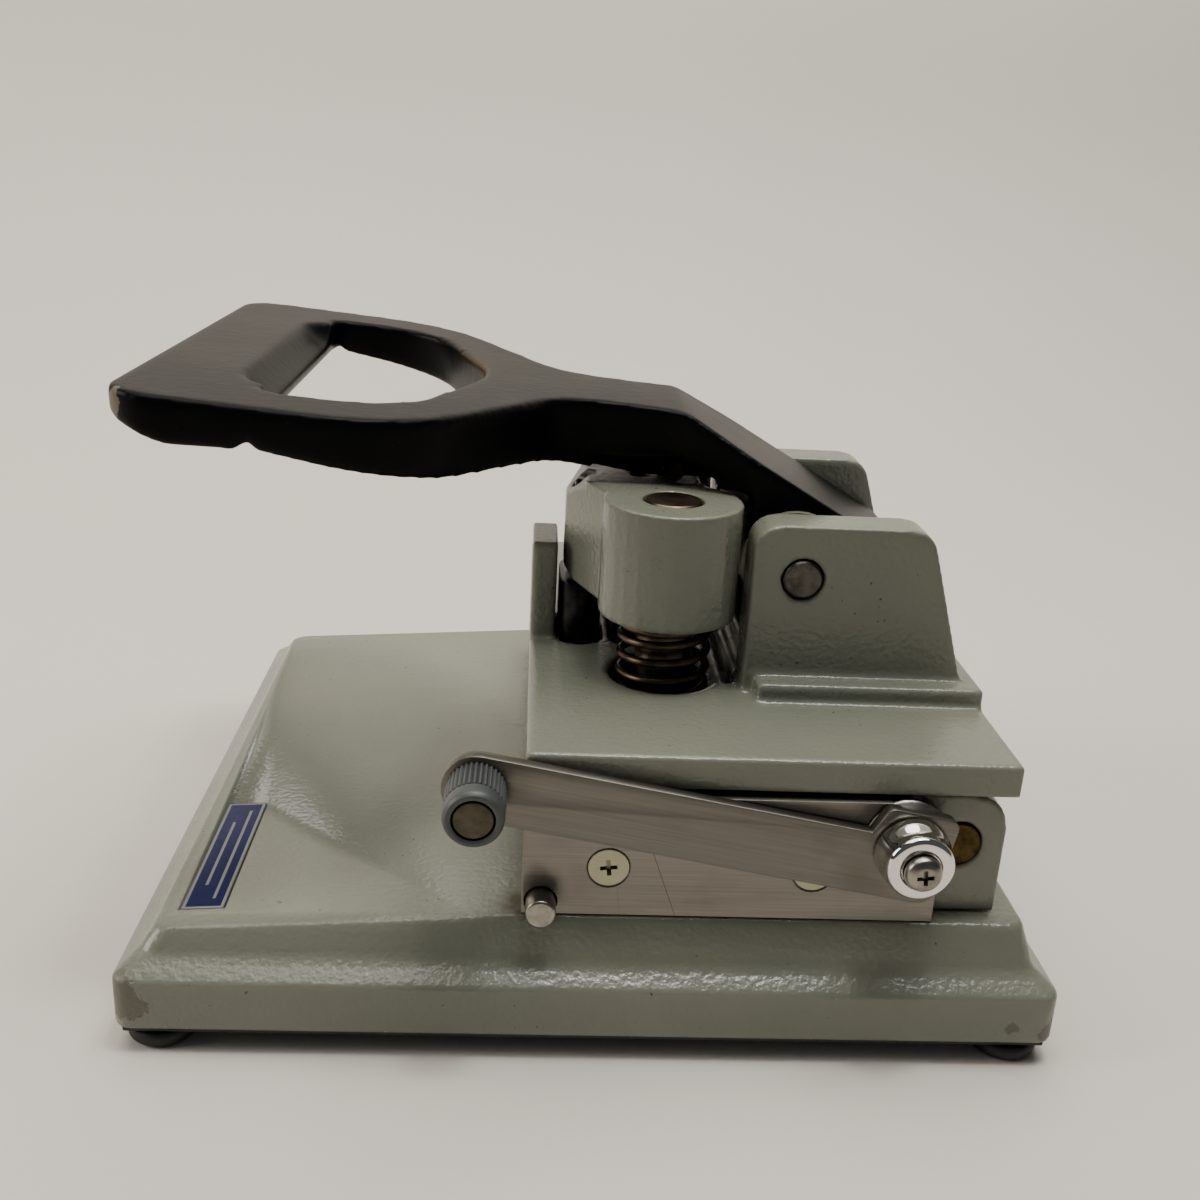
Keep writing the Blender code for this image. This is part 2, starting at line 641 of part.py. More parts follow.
def film_cutters(prefix, low_z, high_z):
    """Holes for the punches and slits for the knives, between two heights."""
    height = high_z - low_z
    middle = (low_z + high_z) / 2
    for name, x, y in punch_places():
        size = (PUNCH_LENGTH_X + 2 * PUNCH_CLEARANCE, PUNCH_LENGTH_Y + 2 * PUNCH_CLEARANCE, height)
        yield box(prefix + "_hole_" + name, size, (x, y, middle))
    for name, x in knife_places():
        size = (KNIFE_THICKNESS + 2 * PUNCH_CLEARANCE, 2 * (KNIFE_HALF_LENGTH + PUNCH_CLEARANCE), height)
        yield box(prefix + "_slit_" + name, size, (x, HEAD_Y, middle))


def make_block(base):
    """Lower block with its die plate, guide bushes and hold-down screws."""
    width = BLOCK_FAR_Y - BLOCK_NEAR_Y
    profile = rounded([
        (BLOCK_LEFT_X, BLOCK_BOTTOM_Z, 0.0),
        (BLOCK_RIGHT_X, BLOCK_BOTTOM_Z, 0.0),
        (BLOCK_RIGHT_X, BLOCK_TOP_Z, BLOCK_SHOULDER),
        (BLOCK_LEFT_X, BLOCK_TOP_Z, 0.0),
    ])
    middle_y = (BLOCK_NEAR_Y + BLOCK_FAR_Y) / 2
    block = flat_piece("lower_block", [profile], width, (0.0, middle_y, 0.0), PAINT, AXIS_TURN["Y"])

    rows = [x for _, x, _ in punch_rows()]
    die_low = (rows[0] - DIE_MARGIN, HEAD_Y - PUNCH_PITCH - DIE_MARGIN, BLOCK_TOP_Z - DIE_THICKNESS)
    die_high = (rows[1] + DIE_MARGIN, HEAD_Y + PUNCH_PITCH + DIE_MARGIN, BLOCK_TOP_Z)
    die = span_box("die_plate", die_low, die_high, BRUSHED)
    cut(die, *film_cutters("die", die_low[2] - THROUGH, die_high[2] + THROUGH))
    pocket_low = Vector(die_low) - Vector((SEAM, SEAM, SEAM))
    pocket_high = Vector(die_high) + Vector((SEAM, SEAM, THROUGH))
    margin = DIE_MARGIN / 2
    scrap_low = Vector((rows[0] - margin, HEAD_Y - PUNCH_PITCH - margin, BLOCK_BOTTOM_Z - THROUGH))
    scrap_high = Vector((rows[1] + margin, HEAD_Y + PUNCH_PITCH + margin, BLOCK_TOP_Z))
    cut(block, span_box("die_pocket", pocket_low, pocket_high))
    cut(block, span_box("scrap_chute", scrap_low, scrap_high))
    chute_low = (scrap_low.x, scrap_low.y, RIM_Z)
    chute_high = (scrap_high.x, scrap_high.y, DECK_Z + THROUGH)
    cut(base, span_box("base_chute", chute_low, chute_high))

    bush_radius = ROD_RADIUS + RUNNING_FIT + BUSH_WALL
    for name, y in guide_places():
        bore_at = (CROSSHEAD_X, y, (BLOCK_BOTTOM_Z + BLOCK_TOP_Z) / 2)
        cut(block, rod("bush_bore_" + name, bush_radius + RUNNING_FIT, 2 * BLOCK_HEIGHT, bore_at))
        turned(
            "guide_bush_" + name,
            [
                (ROD_RADIUS + RUNNING_FIT, 0.0),
                (bush_radius, 0.0),
                (bush_radius, -BUSH_LENGTH),
                (ROD_RADIUS + RUNNING_FIT, -BUSH_LENGTH),
                (ROD_RADIUS + RUNNING_FIT, 0.0),
            ],
            (CROSSHEAD_X, y, BLOCK_TOP_Z), look=BRONZE, sides=SMALL_SIDES,
        ).modifiers["turn"].use_smooth_shade = False

    for name, x, y in block_screw_places():
        seat = ROOF_Z
        screw = turned(
            "block_screw_" + name,
            screw_profile(
                BLOCK_SCREW_HEAD, BLOCK_SCREW_HEAD_HEIGHT, BLOCK_SCREW_RADIUS,
                DECK_Z - ROOF_Z + BLOCK_SCREW_GRIP,
            ),
            (x, y, seat - SEAM), look=TURNED, sides=TINY_SIDES,
        )
        screw.rotation_euler = (math.pi, 0.0, 0.0)
        top = BLOCK_BOTTOM_Z + BLOCK_SCREW_GRIP + SEAM
        low = ROOF_Z - THROUGH
        hole = rod(
            "block_screw_hole_" + name, BLOCK_SCREW_RADIUS + RUNNING_FIT, top - low,
            (x, y, (top + low) / 2), sides=TINY_SIDES,
        )
        cut(block, hole)
        cut(base, hole)
    return block


def make_fixed_blade(block):
    """Fixed shear blade on the block's near face, its screws and the stop pin."""
    left = BLOCK_LEFT_X
    face = BLADE_FACE_Y
    low = (left, face, BLADE_BOTTOM_Z)
    high = (left + BLADE_LENGTH, face + BLADE_THICKNESS, BLOCK_TOP_Z)
    blade = span_box("fixed_blade", low, high, BRUSHED)
    corner_low = (LEVER_PIVOT_X, face - THROUGH, LEVER_PIVOT_Z)
    corner_high = (left + BLADE_LENGTH + THROUGH, BLOCK_NEAR_Y + THROUGH, BLOCK_TOP_Z + THROUGH)
    cut(blade, span_box("blade_corner", corner_low, corner_high))
    cone_depth = BLADE_SCREW_HEAD - BLADE_SCREW_SHANK
    for name, offset in zip(("left", "right"), BLADE_SCREW_X):
        at = (left + offset, face, BLADE_BOTTOM_Z + BLADE_SCREW_HEIGHT)
        turned(
            "blade_screw_" + name,
            [
                (0.0, 0.0),
                (BLADE_SCREW_HEAD, 0.0),
                (BLADE_SCREW_SHANK, -cone_depth),
                (BLADE_SCREW_SHANK, -BLADE_SCREW_LENGTH),
                (0.0, -BLADE_SCREW_LENGTH),
            ],
            at, "Y", CREAM_PLATING, sides=SMALL_SIDES,
        )
        sink = turned(
            "blade_screw_sink_" + name,
            [
                (0.0, THROUGH),
                (BLADE_SCREW_HEAD + RUNNING_FIT + THROUGH, THROUGH),
                (BLADE_SCREW_SHANK + RUNNING_FIT, -cone_depth),
                (BLADE_SCREW_SHANK + RUNNING_FIT, -BLADE_SCREW_LENGTH - SEAM),
                (0.0, -BLADE_SCREW_LENGTH - SEAM),
            ],
            at, "Y", sides=SMALL_SIDES,
        )
        cut(blade, sink)
        cut(block, sink)

    pin_at = (left + STOP_PIN_FROM_END, face - STOP_PIN_PROUD, BLADE_BOTTOM_Z + STOP_PIN_HEIGHT)
    chamfer = STOP_PIN_RADIUS / 8
    turned(
        "stop_pin",
        [
            (0.0, 0.0),
            (STOP_PIN_RADIUS - chamfer, 0.0),
            (STOP_PIN_RADIUS, -chamfer),
            (STOP_PIN_RADIUS, -STOP_PIN_PROUD - STOP_PIN_DEPTH),
            (0.0, -STOP_PIN_PROUD - STOP_PIN_DEPTH),
        ],
        pin_at, "Y", TURNED, sides=SMALL_SIDES,
    )
    hole_length = STOP_PIN_PROUD + 2 * (STOP_PIN_DEPTH + SEAM)
    hole = rod(
        "stop_pin_hole", STOP_PIN_RADIUS + RUNNING_FIT, hole_length,
        (pin_at[0], face + STOP_PIN_DEPTH + SEAM - hole_length / 2, pin_at[2]), "Y", sides=SMALL_SIDES,
    )
    cut(blade, hole)
    cut(block, hole)
    return blade


def make_lever_mount(block, blade):
    """Pivot stud of the cutter lever, its collar and screw, and the brass plug beside it."""
    face = BLADE_FACE_Y
    x, z = LEVER_PIVOT_X, LEVER_PIVOT_Z
    lever_front = face - SEAM - LEVER_THICKNESS
    flange_depth = BLOCK_NEAR_Y - SEAM - face
    front = face - lever_front + SEAM
    screw_bore = LEVER_SCREW_SHANK + RUNNING_FIT
    bore_depth = LEVER_SCREW_LENGTH - COLLAR_LENGTH + 2 * SEAM
    stud = turned(
        "lever_stud",
        [
            (screw_bore, front),
            (STUD_RADIUS, front),
            (STUD_RADIUS, 0.0),
            (STUD_FLANGE, 0.0),
            (STUD_FLANGE, -flange_depth),
            (STUD_RADIUS, -flange_depth),
            (STUD_RADIUS, -flange_depth - STUD_DEPTH),
            (0.0, -flange_depth - STUD_DEPTH),
            (0.0, front - bore_depth),
            (screw_bore, front - bore_depth),
            (screw_bore, front),
        ],
        (x, face, z), "Y", TURNED,
    )
    stud.modifiers["turn"].use_smooth_shade = False
    cut(blade, rod("flange_notch", STUD_FLANGE + RUNNING_FIT, 4 * BLADE_THICKNESS, (x, face, z), "Y"))
    bore_length = 2 * (BLOCK_NEAR_Y + STUD_DEPTH + SEAM - face)
    cut(block, rod("stud_bore", STUD_RADIUS + RUNNING_FIT, bore_length, (x, face, z), "Y", sides=SMALL_SIDES))

    collar_back = face - front - SEAM
    bore = LEVER_SCREW_SHANK + RUNNING_FIT
    edge = COLLAR_LENGTH / 8
    turned(
        "lever_collar",
        [
            (bore, COLLAR_LENGTH),
            (COLLAR_FRONT - edge, COLLAR_LENGTH),
            (COLLAR_FRONT, COLLAR_LENGTH - edge),
            (COLLAR_FRONT + edge / 4, COLLAR_LENGTH / 2),
            (COLLAR_BACK, edge),
            (COLLAR_BACK, 0.0),
            (bore, 0.0),
            (bore, COLLAR_LENGTH),
        ],
        (x, collar_back, z), "Y", CHROME,
    )
    head_low = collar_back - COLLAR_LENGTH - SEAM
    turned(
        "lever_screw",
        screw_profile(
            LEVER_SCREW_HEAD, LEVER_SCREW_HEAD_HEIGHT, LEVER_SCREW_SHANK, LEVER_SCREW_LENGTH - 2 * SEAM
        ),
        (x, head_low, z), "Y", TURNED, sides=SMALL_SIDES,
    )

    plug_at = (x + PLUG_FROM_PIVOT_X, BLOCK_NEAR_Y, z - PLUG_BELOW_PIVOT)
    plug_middle = Vector(plug_at) + Vector((0.0, PLUG_DEPTH / 2, 0.0))
    rod("brass_plug", PLUG_RADIUS, PLUG_DEPTH, plug_middle, "Y", BRASS, SMALL_SIDES)
    hole_length = 2 * (PLUG_DEPTH + SEAM)
    cut(block, rod("plug_hole", PLUG_RADIUS + RUNNING_FIT, hole_length, plug_at, "Y", sides=SMALL_SIDES))


# ---------------------------------------------------------------- cutter lever
def make_cutter_lever():
    """Lever with its knob, built about its pivot and turned to its rest angle."""
    centre_y = BLADE_FACE_Y - SEAM - LEVER_THICKNESS / 2
    pivot = pivot_empty("lever_pivot", (LEVER_PIVOT_X, centre_y, LEVER_PIVOT_Z), (0.0, LEVER_REST_ANGLE, 0.0))
    end = LEVER_DEPTH / 2
    bottom = LEVER_TOP - LEVER_DEPTH
    outline = rounded([
        (-LEVER_REACH - end, LEVER_TOP, end - SEAM),
        (-LEVER_REACH - end, bottom, end - SEAM),
        (LEVER_HUB_BACK, bottom, LEVER_HUB_BACK / 2),
        (LEVER_HUB_BACK, LEVER_HUB_TOP, LEVER_HUB_BACK / 4),
        (-LEVER_HUB_FRONT, LEVER_HUB_TOP, LEVER_HUB_BACK / 4),
        (-LEVER_HUB_FRONT - LEVER_TOP, LEVER_TOP, 0.0),
    ])
    lever = flat_piece(
        "cutter_lever", [outline], LEVER_THICKNESS, (0.0, 0.0, 0.0), BRUSHED, AXIS_TURN["Y"], pivot
    )
    cut(lever, rod("lever_bore", STUD_RADIUS + RUNNING_FIT, 4 * LEVER_THICKNESS, (0.0, 0.0, 0.0), "Y",
                   sides=SMALL_SIDES, parent=pivot))

    knob_at = Vector((-LEVER_REACH, -LEVER_THICKNESS / 2 - SEAM, LEVER_TOP - end))
    stud_bore = KNOB_STUD_RADIUS + RUNNING_FIT
    ring = KNOB_LENGTH / 6
    turned(
        "lever_knob",
        [
            (stud_bore, KNOB_LENGTH),
            (KNOB_RADIUS - ring / 2, KNOB_LENGTH),
            (KNOB_RADIUS - ring / 8, KNOB_LENGTH - ring / 2),
            (KNOB_RADIUS, KNOB_LENGTH - ring),
            (KNOB_RADIUS, 0.0),
            (stud_bore, 0.0),
            (stud_bore, KNOB_LENGTH),
        ],
        knob_at, "Y", KNOB_PLASTIC, parent=pivot,
    )
    shank = KNOB_STUD_RADIUS / 2
    back = -SEAM - LEVER_THICKNESS
    turned(
        "knob_stud",
        [
            (0.0, KNOB_LENGTH - SEAM),
            (KNOB_STUD_RADIUS, KNOB_LENGTH - SEAM),
            (KNOB_STUD_RADIUS, 0.0),
            (shank, 0.0),
            (shank, back),
            (0.0, back),
        ],
        knob_at, "Y", TURNED, sides=SMALL_SIDES, parent=pivot,
    )
    stud_hole = rod(
        "knob_stud_hole", shank + RUNNING_FIT, 4 * LEVER_THICKNESS, knob_at, "Y",
        sides=TINY_SIDES, parent=pivot
    )
    cut(lever, stud_hole)


# ---------------------------------------------------------------- head casting
def make_head():
    """Head plate with its pad, ears, guide tower and the bores through it."""
    left, right = BLOCK_LEFT_X, BLOCK_RIGHT_X + SEAM
    head = span_box(
        "head_casting", (left, HEAD_NEAR_Y, HEAD_BOTTOM_Z), (right, HEAD_FAR_Y, HEAD_TOP_Z), PAINT
    )
    foot_low = (left + SLOT_DEPTH, BLOCK_NEAR_Y + THROUGH, BLOCK_TOP_Z + SEAM)
    foot_high = (right - BLOCK_SHOULDER - THROUGH, BLOCK_FAR_Y - THROUGH, HEAD_BOTTOM_Z + THROUGH)
    join(head, span_box("head_foot", foot_low, foot_high))
    pad_low = (PIVOT_X - PAD_FROM_PIVOT, HEAD_Y - PAD_HALF_WIDTH, HEAD_TOP_Z - THROUGH)
    pad_high = (right, HEAD_Y + PAD_HALF_WIDTH, PAD_TOP_Z)
    join(head, span_box("head_pad", pad_low, pad_high))
    ear_outline = rounded([
        (-EAR_FRONT, HEAD_TOP_Z - THROUGH - PIVOT_Z, 0.0),
        (EAR_FOOT_BACK, HEAD_TOP_Z - THROUGH - PIVOT_Z, 0.0),
        (EAR_FOOT_BACK, PAD_TOP_Z - THROUGH / 2 - PIVOT_Z, 0.0),
        (EAR_TOP_BACK, EAR_TOP, EAR_CORNER),
        (-EAR_FRONT, EAR_TOP, EAR_CORNER),
    ])
    middle = EAR_INSIDE + EAR_THICKNESS / 2
    for name, y in (("near", HEAD_Y - middle), ("far", HEAD_Y + middle)):
        ear = flat_piece(
            "head_ear_" + name, [ear_outline], EAR_THICKNESS, (PIVOT_X, y, PIVOT_Z), turn=AXIS_TURN["Y"]
        )
        join(head, ear)
    tower_low = (left, HEAD_Y - TOWER_HALF_WIDTH, HEAD_TOP_Z - THROUGH)
    tower_high = (left + TOWER_LENGTH, HEAD_Y + TOWER_HALF_WIDTH, HEAD_TOP_Z + TOWER_HEIGHT)
    join(head, span_box("head_tower", tower_low, tower_high))

    well_low = (PIVOT_X - WELL_FRONT, HEAD_Y - WELL_HALF_WIDTH, HEAD_TOP_Z - WELL_DEPTH)
    well_high = (PIVOT_X - EAR_FRONT - WELL_MARGIN, HEAD_Y + WELL_HALF_WIDTH, HEAD_TOP_Z + THROUGH)
    cut(head, span_box("head_well", well_low, well_high))
    pin_length = 2 * (EAR_INSIDE + EAR_THICKNESS + THROUGH)
    cut(head, rod("handle_pin_bore", PIN_RADIUS + RUNNING_FIT, pin_length, (PIVOT_X, HEAD_Y, PIVOT_Z), "Y"))
    for name, y in guide_places():
        top = (CROSSHEAD_X, y, HEAD_TOP_Z)
        seat = rod("spring_seat_" + name, SPRING_SEAT_RADIUS, 2 * SPRING_SEAT_DEPTH, top)
        bore = rod("guide_bore_" + name, ROD_RADIUS + RUNNING_FIT, 4 * HEAD_PLATE, top)
        cut(head, seat, bore)
    for name, x, _ in punch_rows():
        height = 2 * (HEAD_TOP_Z - STRIPPER_TOP_Z)
        pocket = stadium(PUNCH_BLOCK_RADIUS + RUNNING_FIT, PUNCH_BLOCK_HALF)
        cut(head, flat_piece("punch_pocket_" + name, [pocket], height, (x, HEAD_Y, HEAD_TOP_Z)))
    cut(head, *film_cutters("stripper", HEAD_BOTTOM_Z - THROUGH, STRIPPER_TOP_Z + THROUGH / 2))
    turned(
        "handle_pin",
        [
            (0.0, EAR_INSIDE + EAR_THICKNESS + PIN_PROUD),
            (PIN_RADIUS - SEAM, EAR_INSIDE + EAR_THICKNESS + PIN_PROUD),
            (PIN_RADIUS, EAR_INSIDE + EAR_THICKNESS + PIN_PROUD - SEAM),
            (PIN_RADIUS, -EAR_INSIDE - EAR_THICKNESS - PIN_PROUD + SEAM),
            (PIN_RADIUS - SEAM, -EAR_INSIDE - EAR_THICKNESS - PIN_PROUD),
            (0.0, -EAR_INSIDE - EAR_THICKNESS - PIN_PROUD),
        ],
        (PIVOT_X, HEAD_Y, PIVOT_Z), "Y", TURNED, sides=SMALL_SIDES,
    )


def stadium(radius, half):
    """Outline with straight sides along Y and a half circle at each end."""
    points = []
    for end in (1, -1):
        for step in range(2 * ARC_STEPS + 1):
            angle = math.pi * step / (2 * ARC_STEPS)
            points.append(Vector((end * radius * math.cos(angle), end * (half + radius * math.sin(angle)))))
    return points


# ---------------------------------------------------------------- hand lever
def mirror_outline(half, tip=()):
    """Corners of an outline given for +Y, then any on the middle line, then the mirror image."""
    return [*half, *tip, *((x, -y, radius) for x, y, radius in reversed(half))]


def finger_profile():
    """Half section of the finger hollow: a round bar with half-ball ends."""
    straight = FINGER_HALF_LENGTH - FINGER_RADIUS
    profile = []
    for end in (1, -1):
        for step in range(ARC_STEPS + 1):
            angle = math.pi / 2 * (step if end > 0 else ARC_STEPS - step) / ARC_STEPS
            height = straight + FINGER_RADIUS * math.cos(angle)
            profile.append((FINGER_RADIUS * math.sin(angle), end * height))
    return profile


def make_handle():
    """Loop handle: the overlap of its plan and its side view, both about the pivot."""
    pivot = pivot_empty("handle_pivot", (PIVOT_X, HEAD_Y, PIVOT_Z))
    grip_sole = GRIP_TOP_HEIGHT - GRIP_DEPTH
    pad = PAD_TOP_Z - PIVOT_Z + SEAM
    side = rounded([
        (-GRIP_REACH, GRIP_TOP_HEIGHT, BLEND_SHARP),
        (-ARM_TOP_END, ARM_TOP_HEIGHT, BLEND_MEDIUM),
        (TAIL_REACH, -TAIL_TOP_DROP, BLEND_SMALL),
        (TAIL_REACH, pad, BLEND_SMALL),
        (TAIL_REACH - TAIL_SOLE, pad, BLEND_SMALL),
        (HUB_SOLE_END, -HUB_RADIUS, BLEND_SMALL),
        (-HUB_FRONT, -HUB_RADIUS, BLEND_MEDIUM),
        (-HUB_FRONT, ARM_UNDERSIDE, BLEND_SHARP),
        (-ARM_UNDERSIDE_END, ARM_UNDERSIDE, BLEND_MEDIUM),
        (-RAIL_BEND, RAIL_BEND_HEIGHT, BLEND_LARGE),
        (-RAIL_RISE, RAIL_RISE_HEIGHT, BLEND_LARGE),
        (-GRIP_INNER + NOTCH_BACK, grip_sole, BLEND_SHARP),
        (-GRIP_INNER + NOTCH_PEAK, grip_sole + NOTCH_DEPTH, BLEND_SHARP),
        (-GRIP_INNER - NOTCH_FRONT, grip_sole, BLEND_SHARP),
        (-GRIP_REACH + GRIP_SOLE_FRONT, grip_sole + GRIP_SOLE_RISE, BLEND_MEDIUM),
        (-GRIP_REACH, GRIP_TOP_HEIGHT - GRIP_NOSE_DEPTH, BLEND_SMALL),
    ])
    width = 2 * LOOP_HALF_WIDTH + THROUGH
    handle = flat_piece("handle", [side], width, (0.0, 0.0, 0.0), BLACK_PAINT, AXIS_TURN["Y"], pivot)
    outer = rounded(mirror_outline([
        (TAIL_REACH + THROUGH, HUB_HALF_WIDTH, 0.0),
        (-HUB_SHOULDER, HUB_HALF_WIDTH, BLEND_MEDIUM),
        (-ARM_START, ARM_HALF_WIDTH, BLEND_LARGE),
        (-LOOP_NECK, ARM_HALF_WIDTH, LOOP_NECK_RADIUS),
        (-LOOP_REACH, LOOP_HALF_WIDTH, LOOP_RADIUS),
        (-GRIP_REACH, LOOP_HALF_WIDTH, GRIP_CORNER),
    ]), LOOP_ARC_STEPS)
    opening_side = [
        (-GRIP_INNER, OPENING_HALF_WIDTH, OPENING_CORNER),
        (-OPENING_SHOULDER, OPENING_HALF_WIDTH, OPENING_SHOULDER_RADIUS),
    ]
    opening_tip = [(-OPENING_TIP, 0.0, OPENING_TIP_RADIUS)]
    opening = rounded(mirror_outline(opening_side, opening_tip), LOOP_ARC_STEPS)
    tall = 4 * GRIP_TOP_HEIGHT
    plan = flat_piece("handle_plan", [outer, opening], tall, (0.0, 0.0, 0.0), parent=pivot)
    combine(handle, plan, "INTERSECT")
    finger_at = (-GRIP_INNER + FINGER_BEHIND_WALL, 0.0, GRIP_TOP_HEIGHT + FINGER_ABOVE_GRIP)
    cut(handle, turned("finger_hollow", finger_profile(), finger_at, "Y", parent=pivot))
    roller_at = (-ROLLER_BACK, 0.0, ROLLER_Z - PIVOT_Z)
    chamfer_size = (ARM_CHAMFER_LENGTH, ARM_CHAMFER * math.sqrt(2), ARM_CHAMFER * math.sqrt(2))
    for name, side_y in (("near", -ARM_HALF_WIDTH), ("far", ARM_HALF_WIDTH)):
        chamfer_at = (-ARM_CHAMFER_MIDDLE, side_y, ARM_UNDERSIDE - 2 * SEAM)
        turn = (math.pi / 4, 0.0, 0.0)
        cut(handle, box("arm_chamfer_" + name, chamfer_size, chamfer_at, turn=turn, parent=pivot))
    slot_size = 2 * (ROLLER_RADIUS + ROLLER_SLOT)
    slot = box(
        "roller_slot", (slot_size, 2 * (ROLLER_HALF_WIDTH + SEAM), 2 * slot_size),
        (roller_at[0], 0.0, roller_at[2] - slot_size / 2), parent=pivot,
    )
    pin_hole = rod(
        "roller_pin_hole", ROLLER_PIN_RADIUS + RUNNING_FIT, 4 * ARM_HALF_WIDTH, roller_at, "Y",
        sides=SMALL_SIDES, parent=pivot,
    )
    hub_bore = rod(
        "hub_bore", PIN_RADIUS + RUNNING_FIT, 4 * HUB_HALF_WIDTH, (0.0, 0.0, 0.0), "Y",
        sides=SMALL_SIDES, parent=pivot,
    )
    cut(handle, slot, pin_hole, hub_bore)

    bore = ROLLER_PIN_RADIUS + RUNNING_FIT
    roller = turned(
        "press_roller",
        [
            (bore, ROLLER_HALF_WIDTH),
            (ROLLER_RADIUS, ROLLER_HALF_WIDTH),
            (ROLLER_RADIUS, -ROLLER_HALF_WIDTH),
            (bore, -ROLLER_HALF_WIDTH),
            (bore, ROLLER_HALF_WIDTH),
        ],
        roller_at, "Y", TURNED, sides=SMALL_SIDES, parent=pivot,
    )
    roller.modifiers["turn"].use_smooth_shade = False
    rod("roller_pin", ROLLER_PIN_RADIUS, 2 * ARM_HALF_WIDTH - THROUGH / 2, roller_at, "Y", TURNED,
        sides=SMALL_SIDES, parent=pivot)
    gap = EAR_INSIDE - HUB_HALF_WIDTH
    for name, y in (("near", -HUB_HALF_WIDTH - gap / 2), ("far", HUB_HALF_WIDTH + gap / 2)):
        inner = PIN_RADIUS + RUNNING_FIT
        washer = turned(
            "hub_washer_" + name,
            [
                (inner, WASHER_THICKNESS / 2),
                (WASHER_RADIUS, WASHER_THICKNESS / 2),
                (WASHER_RADIUS, -WASHER_THICKNESS / 2),
                (inner, -WASHER_THICKNESS / 2),
                (inner, WASHER_THICKNESS / 2),
            ],
            (0.0, y, 0.0), "Y", TURNED, parent=pivot,
        )
        washer.modifiers["turn"].use_smooth_shade = False


# ---------------------------------------------------------------- crosshead
def crosshead_outline():
    """Plan of the crosshead: two round bosses joined by a bridge with a blunt nose."""
    points = []
    slope = math.atan2(NOSE_FRONT - BOSS_RADIUS, BOSS_PITCH - NOSE_HALF_WIDTH)
    for side in (-1, 1):
        arc = []
        steps = 4 * ARC_STEPS
        first = math.pi / 2 - math.acos(BRIDGE_BACK / BOSS_RADIUS)
        last = math.pi + slope
        for step in range(steps + 1):
            angle = -(math.pi / 2 - first) + (last + math.pi / 2 - first) * step / steps
            out = BOSS_PITCH + BOSS_RADIUS * math.sin(angle)
            arc.append(Vector((BOSS_RADIUS * math.cos(angle), side * out)))
        nose = Vector((-NOSE_FRONT, side * NOSE_HALF_WIDTH))
        half = arc + [nose]
        points.append(half)
    return points[1] + list(reversed(points[0]))


